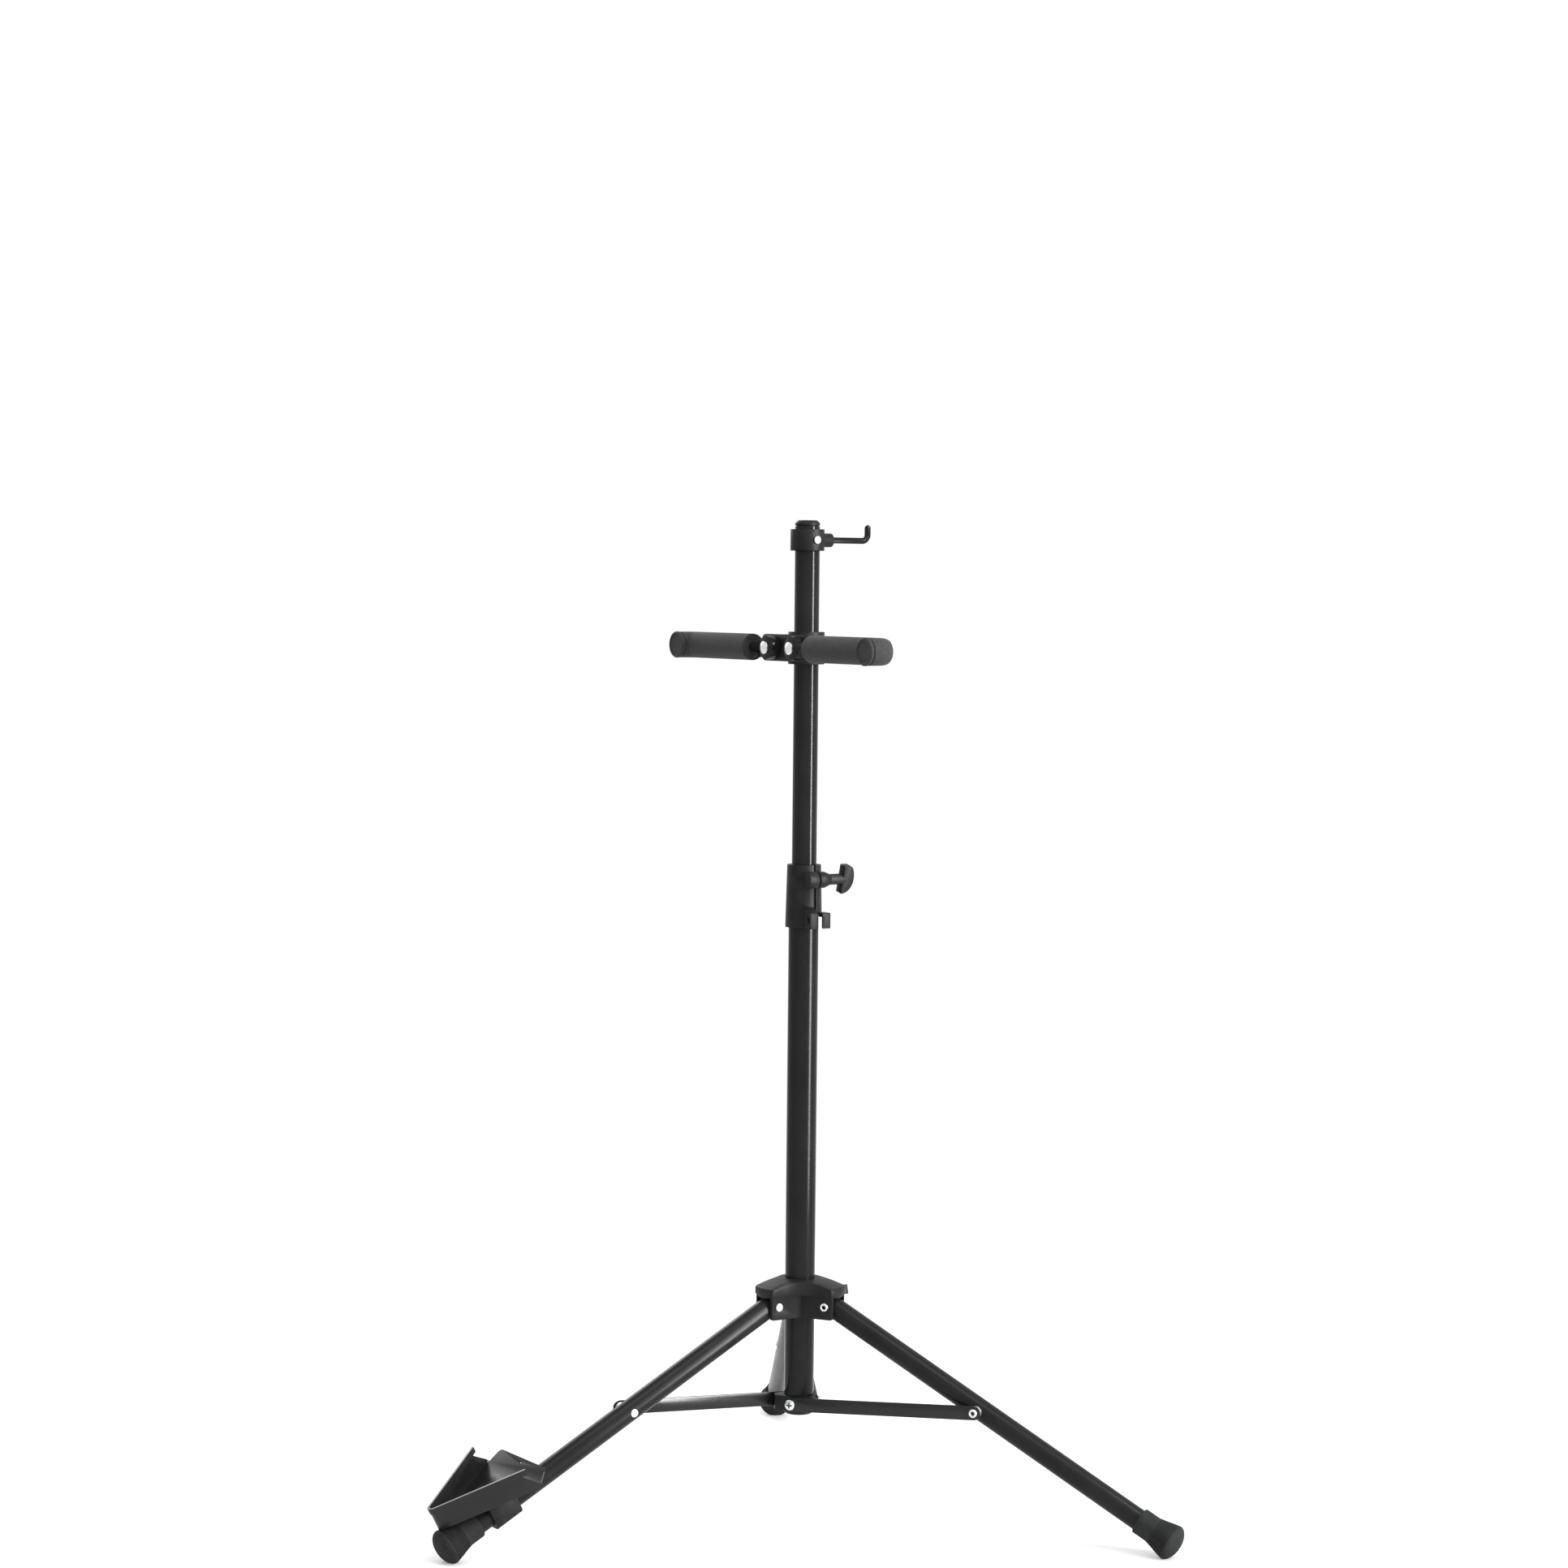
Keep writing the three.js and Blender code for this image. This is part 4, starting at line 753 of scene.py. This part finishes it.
class STAND_OT_feet(bpy.types.Operator):
    """Turn the three grooved rubber feet and trim them flat where they stand"""
    bl_idname = "stand.feet"
    bl_label = "Feet"

    def profile(self, feet):
        """From the leg's end out and up the sleeve, along the grooved flare and over the dome."""
        bore = LEG_RADIUS + GAP
        sleeve = [(bore, FOOT_START), (feet.sleeve, FOOT_START), (feet.sleeve, FOOT_FLARE)]
        outline = rounded(sleeve, FOOT_EDGE)[:-1]
        steps = STEPS_PER_GROOVE * max(feet.grooves, 1)
        first, last = GROOVED_SHARES
        for step in range(steps + 1):
            share = step / steps
            curve = math.sin(share * QUARTER_TURN) ** 2
            swell = FOOT_STRAIGHT_SHARE * share + (1 - FOOT_STRAIGHT_SHARE) * curve
            wave = max(0, math.sin(share * math.tau * feet.grooves)) ** 2
            groove = wave if first < share < last else 0
            radius = feet.sleeve + (feet.rim - feet.sleeve) * swell - feet.groove_depth * groove
            outline.append((radius, FOOT_FLARE + (FOOT_RIM - FOOT_FLARE) * share))
        crown = arc(0, QUARTER_TURN, 18)[1:-1]
        outline += [(feet.rim * x, FOOT_RIM + FOOT_DOME * z) for x, z in crown]
        outline.append((0, FOOT_RIM + FOOT_DOME))
        return [(0, LEG_END + GAP), (bore, LEG_END + GAP)] + outline

    def execute(self, context):
        for side in SIDES:
            mesh = lathe(self.profile(context.scene.stand_feet), FOOT_SIDES)
            place(mesh, leg_matrix(side) @ ALONG_X)
            parts = mesh.verts[:] + mesh.edges[:] + mesh.faces[:]
            cut = bmesh.ops.bisect_plane(mesh, geom=parts, plane_co=(0, 0, 0), plane_no=(0, 0, -1),
                                         clear_outer=True)["geom_cut"]
            bmesh.ops.holes_fill(mesh, edges=only(cut, bmesh.types.BMEdge), sides=0)
            bmesh.ops.recalc_face_normals(mesh, faces=mesh.faces)
            add_piece(f"rubber_foot_{side}", mesh, f"leg_{side}", "rubber_foot", f"foot_{side}")
        return {"FINISHED"}


class STAND_OT_braces(bpy.types.Operator):
    """Cut the three flat braces with rounded ends"""
    bl_idname = "stand.braces"
    bl_label = "Braces"

    def execute(self, context):
        half = LINK_HALF_WIDTH
        outer_end = arc(-QUARTER_TURN, QUARTER_TURN, 16)
        inner_end = arc(QUARTER_TURN, 3 * QUARTER_TURN, 16)
        outline = [(LINK_LENGTH + half * x, half * z) for x, z in outer_end]
        outline += [(half * x, half * z) for x, z in inner_end]
        front, back = -LINK_PLANE - LINK_THICKNESS / 2, -LINK_PLANE + LINK_THICKNESS / 2
        for side in SIDES:
            mesh = place(prism(outline, front, back, BRACE_EDGE), link_matrix(side))
            add_piece(f"brace_{side}_bar", mesh, f"brace_{side}", "painted_steel", f"link_{side}",
                      coating="tray_paint")
        return {"FINISHED"}


class STAND_OT_mouldings(bpy.types.Operator):
    """Soften the moulded hubs, collar, head, saddle, peg clip, and the inner tube's cap and guide"""
    bl_idname = "stand.mouldings"
    bl_label = "Mouldings"

    def execute(self, context):
        edge = context.scene.stand_mouldings.edge
        for node in MOULDED_NODES:
            dressed_copy(node, "black_plastic", edge)
        return {"FINISHED"}


class STAND_OT_knobs(bpy.types.Operator):
    """Shape the two wing knobs"""
    bl_idname = "stand.knobs"
    bl_label = "Wing knobs"

    def knob(self, neck, tilt):
        """Along +Y from zero: a round stem, then a half round wing with one square shoulder."""
        half, depth, shoulder, thick = WING_HALF_WIDTH, WING_DEPTH, WING_SHOULDER, WING_HALF_THICKNESS
        end = neck + depth / 3
        stem = rounded([(0, 0), (STEM_RADIUS, 0), (STEM_RADIUS, end), (0, end)], STEM_EDGE)
        stem = place(lathe(stem, STEM_SIDES), ALONG_Y)
        low = [(neck + depth * x, half * z) for x, z in arc(-QUARTER_TURN, 0, 16)]
        high = [(neck + shoulder + (depth - shoulder) * x, half * z)
                for x, z in arc(0, QUARTER_TURN, 16)[1:]]
        outline = rounded(low + high + [(neck, half)], WING_CORNER, closed=True)
        wing = prism(outline, -thick, thick, WING_EDGE)
        place(wing, Matrix.Rotation(QUARTER_TURN, 4, "Z"))
        return place(merged(stem, wing), Matrix.Rotation(tilt, 4, "Y"))

    def execute(self, context):
        for name, body, neck, tilt in KNOBS:
            low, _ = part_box(f"{name}_knob")
            stud_low, stud_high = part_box(f"{name}_stud")
            axis = (stud_low + stud_high) / 2
            mesh = place(self.knob(neck, tilt), Matrix.Translation((axis.x, low.y, axis.z)))
            add_piece(f"{name}_wing_knob", mesh, body, "black_plastic", f"{name}_knob",
                      coating="knob_nylon")
        return {"FINISHED"}


class STAND_OT_tray(bpy.types.Operator):
    """Soften the folded tray"""
    bl_idname = "stand.tray"
    bl_label = "Tray"

    def execute(self, context):
        dressed_copy("tray", "painted_steel", TRAY_EDGE, coating="tray_paint")
        return {"FINISHED"}


class STAND_OT_arms(bpy.types.Operator):
    """Make the two bent arms and their foam sleeves"""
    bl_idname = "stand.arms"
    bl_label = "Support arms"

    def square_elbow(self, mesh, pads, reach):
        """Fills out the elbow's outer corner, and squares the foam's round section there."""
        for vert in mesh.verts:
            spot = Vector((vert.co.x - reach, vert.co.y + pads.bend))
            outwards = spot.length - pads.bend
            if min(spot) <= 0 or outwards <= 0:
                continue
            corner = math.sin(2 * math.atan2(spot.y, spot.x))
            around = math.atan2(vert.co.z, outwards)
            squarer = (math.cos(around) ** 4 + math.sin(around) ** 4) ** -0.25
            fuller = 1 + (squarer - 1) * corner
            filling = pads.square * (outwards / pads.radius) ** 2 * corner ** 2
            spot = spot.normalized() * (pads.bend + outwards * fuller + filling)
            vert.co = reach + spot.x, spot.y - pads.bend, vert.co.z * fuller

    def end_rings(self, pads):
        """How far each ring of a pad's end lies ahead of its face, and how much it is wider."""
        groove = [(-4.4, -0.2), (-3.7, -1.2), (-3.1, -0.3)]
        flange = [(-2.6, 0.2), (-0.8, 0.2), (0, -0.3), (0.5, -1.1), (0.4, -1.9)]
        rings = [(ahead * MM, wider * MM) for ahead, wider in groove + flange]
        return rings + [(-pads.lip, -2.8 * MM), (-1.3 * pads.lip, -6 * MM)]

    def lip(self, mesh, edges, pads):
        """Adds the groove, the flange and the dished face, and returns the last open rim."""
        face = pads.forward - ARM_PLANE - pads.bend
        before, reached = pads.radius, 0
        for ahead, wider in self.end_rings(pads):
            radius, forward = pads.radius + wider, face + ahead
            verts, edges = grow_rim(mesh, edges)
            bmesh.ops.translate(mesh, verts=verts, vec=(0, reached - forward, 0))
            middle = Vector((pads.half_span - ARM_PIVOT, verts[0].co.y, 0))
            bmesh.ops.scale(mesh, vec=(radius / before, 1, radius / before), verts=verts,
                            space=Matrix.Translation(-middle))
            before, reached = radius, forward
        return edges

    def sleeve(self, pads):
        """Along X from its start, round the elbow and forward along -Y to a lipped end."""
        mesh = bmesh.new()
        ring = bmesh.ops.create_circle(
            mesh, cap_ends=False, segments=FOAM_SIDES, radius=pads.radius)["verts"]
        place(mesh, Matrix.Translation((FOAM_START, 0, 0)) @ ALONG_X)
        inner, _ = grow_rim(mesh, mesh.edges[:])
        narrower = FOAM_BORE / pads.radius
        bmesh.ops.scale(mesh, vec=(1, narrower, narrower), verts=inner,
                        space=Matrix.Translation((-FOAM_START, 0, 0)))
        edges = [edge for edge in mesh.edges if all(vert in ring for vert in edge.verts)]
        reach = pads.half_span - ARM_PIVOT - pads.bend
        for _ in range(STRAIGHT_STEPS):
            verts, edges = grow_rim(mesh, edges)
            bmesh.ops.translate(mesh, verts=verts, vec=((reach - FOAM_START) / STRAIGHT_STEPS, 0, 0))
        spun = bmesh.ops.spin(mesh, geom=edges, cent=(reach, -pads.bend, 0), axis=(0, 0, 1),
                              dvec=(0, 0, 0), angle=-QUARTER_TURN, steps=ELBOW_STEPS)["geom_last"]
        self.square_elbow(mesh, pads, reach)
        edges = self.lip(mesh, only(spun, bmesh.types.BMEdge), pads)
        bmesh.ops.holes_fill(mesh, edges=edges, sides=0)
        open_rim = [edge for edge in mesh.edges if edge.is_boundary]
        bmesh.ops.holes_fill(mesh, edges=open_rim, sides=0)
        bmesh.ops.remove_doubles(mesh, verts=mesh.verts, dist=MERGE_DISTANCE)
        bmesh.ops.recalc_face_normals(mesh, faces=mesh.faces)
        return mesh

    def execute(self, context):
        pads = context.scene.stand_pads
        for side, way in (("right", 1), ("left", -1)):
            mesh = self.sleeve(pads)
            if way < 0:
                place(mesh, Matrix.Scale(-1, 4, (1, 0, 0)))
                bmesh.ops.recalc_face_normals(mesh, faces=mesh.faces)
            place(mesh, Matrix.Translation(MAST + Vector((way * ARM_PIVOT, -ARM_PLANE, ARM_HEIGHT))))
            piece = add_piece(f"foam_sleeve_{side}", mesh, f"support_{side}", "foam_sleeve",
                              f"arm_sleeve_{side}")
            dressed_copy(f"arm_{side}", "painted_steel", ARM_EDGE)
        return {"FINISHED"}


class STAND_OT_peg(bpy.types.Operator):
    """Finish the hanging peg"""
    bl_idname = "stand.peg"
    bl_label = "Hanging peg"

    def execute(self, context):
        dressed_copy("hanging_peg", "painted_steel", PEG_EDGE)
        return {"FINISHED"}


class STAND_OT_fasteners(bpy.types.Operator):
    """Turn the rivets, and soften the screws, nuts and studs"""
    bl_idname = "stand.fasteners"
    bl_label = "Fasteners"

    def hub_pin(self, side, head):
        """A hollow shank through a hub arm, with a round head at one end and a roll at the other."""
        cheek = HUB_CHEEK + GAP
        shank = place(tube_mesh(HUB_SHANK, SHANK_WALL, HUB_SHANK_START - cheek, cheek), ALONG_Y)
        solid = place(head_mesh(head), Matrix.Translation((0, cheek, 0)) @ ALONG_Y)
        hollow = place(rolled_end(head + HUB_ROLL_EXTRA, HUB_SHANK, HUB_ROLL_DEPTH),
                       Matrix.Translation((0, -cheek, 0)) @ ALONG_MINUS_Y)
        hub = side_matrix(side, HUB_PIVOT_HEIGHT, HUB_PIVOT_RADIUS)
        mesh = place(merged(shank, solid, hollow), hub)
        add_piece(f"hub_pin_{side}", mesh, "hub", "zinc_plated_steel", f"hub_rivet_{side}")

    def leg_pin(self, side, head):
        """A hollow shank through a leg, with a round head on the side away from the brace."""
        shank = place(tube_mesh(LEG_SHANK, SHANK_WALL, -LEG_RADIUS, LEG_RADIUS), ALONG_Y)
        solid = place(head_mesh(head), Matrix.Translation((0, LEG_RADIUS - HEAD_SINK, 0)) @ ALONG_Y)
        pivot = leg_matrix(side) @ Matrix.Translation((LINK_PIVOT_REACH, 0, 0))
        mesh = place(merged(shank, solid), pivot)
        add_piece(f"leg_pin_{side}", mesh, f"leg_{side}", "zinc_plated_steel", f"leg_rivet_{side}")

    def brace_pin(self, side):
        """A spacer between leg and brace, and a rolled end on the brace's outer face."""
        back = LEG_RADIUS + GAP
        spacer = [(0, -LINK_INNER), (SPACER_RADIUS, -LINK_INNER), (SPACER_RADIUS, -back), (0, -back)]
        spacer = lathe(rounded(spacer, SPACER_EDGE), SPACER_SIDES)
        hollow = rolled_end(BRACE_ROLL_RADIUS, LEG_SHANK, LINK_OUTER - LINK_INNER + SPACER_BITE)
        place(hollow, Matrix.Translation((0, 0, -LINK_OUTER)) @ Matrix.Rotation(math.pi, 4, "X"))
        mesh = place(merged(spacer, hollow), ALONG_Y)
        place(mesh, link_matrix(side) @ Matrix.Translation((LINK_LENGTH, 0, 0)))
        add_piece(f"brace_pin_{side}", mesh, f"brace_{side}", "zinc_plated_steel", f"link_eyelet_{side}")

    def brace_screw(self, side, edge):
        """The screw of a brace's inner pivot, with painted shade in its cross recess."""
        inwards = side_matrix(side, LOWER_PIVOT_HEIGHT).inverted()

        def in_shaded_cross(point):
            across, depth, up = inwards @ point
            near, far = sorted((abs(across), abs(up)))
            shallow, deep = CROSS_DEPTHS
            return near < CROSS_HALF_WIDTH and far < CROSS_REACH and shallow < -depth - LINK_OUTER < deep

        dressed_copy(f"link_screw_{side}", "zinc_plated_steel", edge, recess=in_shaded_cross)

    def execute(self, context):
        hardware = context.scene.stand_hardware
        for side in SIDES:
            self.hub_pin(side, hardware.rivet_radius)
            self.leg_pin(side, hardware.rivet_radius)
            self.brace_pin(side)
        for side in SIDES:
            self.brace_screw(side, hardware.edge)
        dressed_copy("collar_screw", "painted_steel", hardware.edge)
        for node in PLATED_NODES:
            dressed_copy(node, "zinc_plated_steel", hardware.edge)
        return {"FINISHED"}


class STAND_OT_stage(bpy.types.Operator):
    """Set the camera, the studio lights, the pale floor and the backdrop"""
    bl_idname = "stand.stage"
    bl_label = "Stage"

    def camera(self, scene):
        turn = Matrix.Rotation(CAMERA_AZIMUTH, 3, "Z")
        ahead = Vector((math.sin(CAMERA_PAN) * math.cos(CAMERA_TILT),
                        math.cos(CAMERA_PAN) * math.cos(CAMERA_TILT), -math.sin(CAMERA_TILT)))
        right = Vector((math.cos(CAMERA_PAN), -math.sin(CAMERA_PAN), 0))
        above = right.cross(ahead)
        rolled_right = right * math.cos(CAMERA_ROLL) + above * math.sin(CAMERA_ROLL)
        rolled_above = above * math.cos(CAMERA_ROLL) - right * math.sin(CAMERA_ROLL)
        axes = Matrix((turn @ rolled_right, turn @ rolled_above, turn @ -ahead)).transposed()
        data = bpy.data.cameras.new("camera")
        data.sensor_width = SENSOR_WIDTH
        data.lens = CAMERA_FOCAL_PIXELS * SENSOR_WIDTH / IMAGE_PIXELS
        camera = bpy.data.objects.new("camera", data)
        where = MAST + turn @ Vector((0, -CAMERA_DISTANCE, CAMERA_HEIGHT))
        camera.matrix_world = Matrix.Translation(where) @ axes.to_4x4()
        scene.collection.objects.link(camera)
        scene.camera = camera

    def light(self, scene, name, azimuth, height, distance, width, tall, power,
              aim=0.4, gloss_only=False):
        """A soft box that faces the mast, with its azimuth counted from the camera to the right."""
        data = bpy.data.lights.new(name, "AREA")
        data.shape = "RECTANGLE"
        data.size = width
        data.size_y = tall
        data.energy = power
        light = bpy.data.objects.new(name, data)
        turn = CAMERA_AZIMUTH + math.radians(azimuth)
        where = MAST + Vector((math.sin(turn) * distance, -math.cos(turn) * distance, height))
        ahead = MAST + Vector((0, 0, aim)) - where
        facing = ahead.to_track_quat("-Z", "Y").to_matrix().to_4x4()
        light.matrix_world = Matrix.Translation(where) @ facing
        light.visible_diffuse = not gloss_only
        scene.collection.objects.link(light)

    def backdrop(self, scene):
        """A white world for the camera, gloss and glass, and a softer one that lights the object."""
        world = bpy.data.worlds.new("backdrop")
        world.use_nodes = True
        scene.world = world
        tree = world.node_tree
        background = tree.nodes["Background"]
        feed(tree, background.inputs["Color"], (*WHITE, 1))
        feed(tree, background.inputs["Strength"], AMBIENT + shown_rays(tree) * (1 - AMBIENT))

    def floor(self, scene):
        """A round pale floor that fades into the backdrop away from the object."""
        mesh = bmesh.new()
        bmesh.ops.create_circle(mesh, cap_ends=True, segments=96, radius=FLOOR_RADIUS)
        data = bpy.data.meshes.new("floor")
        mesh.to_mesh(data)
        mesh.free()
        floor = bpy.data.objects.new("floor", data)
        scene.collection.objects.link(floor)
        pale = Finish("pale_floor")
        far = pale.node(
            "ShaderNodeVectorMath", {"operation": "LENGTH"}, {"Vector": pale.position}, "Value")
        shown = shown_rays(pale.tree)
        pale.set(Base_Color=(*FLOOR_PALE, 1), Roughness=0.85)
        pale.set(Emission_Color=pale.blend(shown, BLACK, FLOOR_GLOW), Emission_Strength=1.0)
        near = Wire(pale.tree, pale.surface.outputs[0])
        glow = pale.node("ShaderNodeEmission", sockets={"Color": pale.blend(shown, FAR_GLOW, WHITE)})
        fade = pale.clamp(far, *FLOOR_FADE)
        pale.show(pale.node("ShaderNodeMixShader", sockets={0: fade, 1: near, 2: glow}))
        data.materials.append(pale.material)

    def execute(self, context):
        scene = context.scene
        scene.view_settings.view_transform = "Standard"
        self.camera(scene)
        self.backdrop(scene)
        self.floor(scene)
        self.light(scene, "key_box", azimuth=61, height=1.3, distance=3.2, width=0.8, tall=2.4,
                   power=105)
        self.light(scene, "strip_box", azimuth=62, height=1.04, distance=1.3, width=0.24, tall=2.0,
                   power=62, aim=1.04, gloss_only=True)
        self.light(scene, "top_box", azimuth=10, height=3.4, distance=1.0, width=1.2, tall=1.2, power=24)
        self.light(scene, "back_box", azimuth=-150, height=2.0, distance=3.0, width=1.8, tall=1.5,
                   power=40)
        return {"FINISHED"}


PIECES = (
    STAND_OT_finishes,
    STAND_OT_tubes,
    STAND_OT_feet,
    STAND_OT_braces,
    STAND_OT_mouldings,
    STAND_OT_knobs,
    STAND_OT_tray,
    STAND_OT_arms,
    STAND_OT_peg,
    STAND_OT_fasteners,
    STAND_OT_stage,
)


class STAND_PT_pieces(bpy.types.Panel):
    """Lists the stand's pieces and their settings"""
    bl_idname = "STAND_PT_pieces"
    bl_label = "Instrument stand"
    bl_space_type = "VIEW_3D"
    bl_region_type = "UI"
    bl_category = "Stand"

    def draw(self, context):
        for settings in SETTINGS:
            group = getattr(context.scene, settings)
            box = self.layout.box()
            for name in group.__annotations__:
                box.prop(group, name)
        for piece in PIECES:
            self.layout.operator(piece.bl_idname)


def register():
    for settings, group in SETTINGS.items():
        bpy.utils.register_class(group)
        setattr(bpy.types.Scene, settings, PointerProperty(type=group))
    for piece in PIECES:
        bpy.utils.register_class(piece)
    bpy.utils.register_class(STAND_PT_pieces)


def unregister():
    bpy.utils.unregister_class(STAND_PT_pieces)
    for piece in reversed(PIECES):
        bpy.utils.unregister_class(piece)
    for settings, group in SETTINGS.items():
        delattr(bpy.types.Scene, settings)
        bpy.utils.unregister_class(group)


def main():
    register()
    for piece in PIECES:
        group, name = piece.bl_idname.split(".")
        getattr(getattr(bpy.ops, group), name)()
    bpy.context.view_layer.update()


if __name__ == "__main__":
    main()
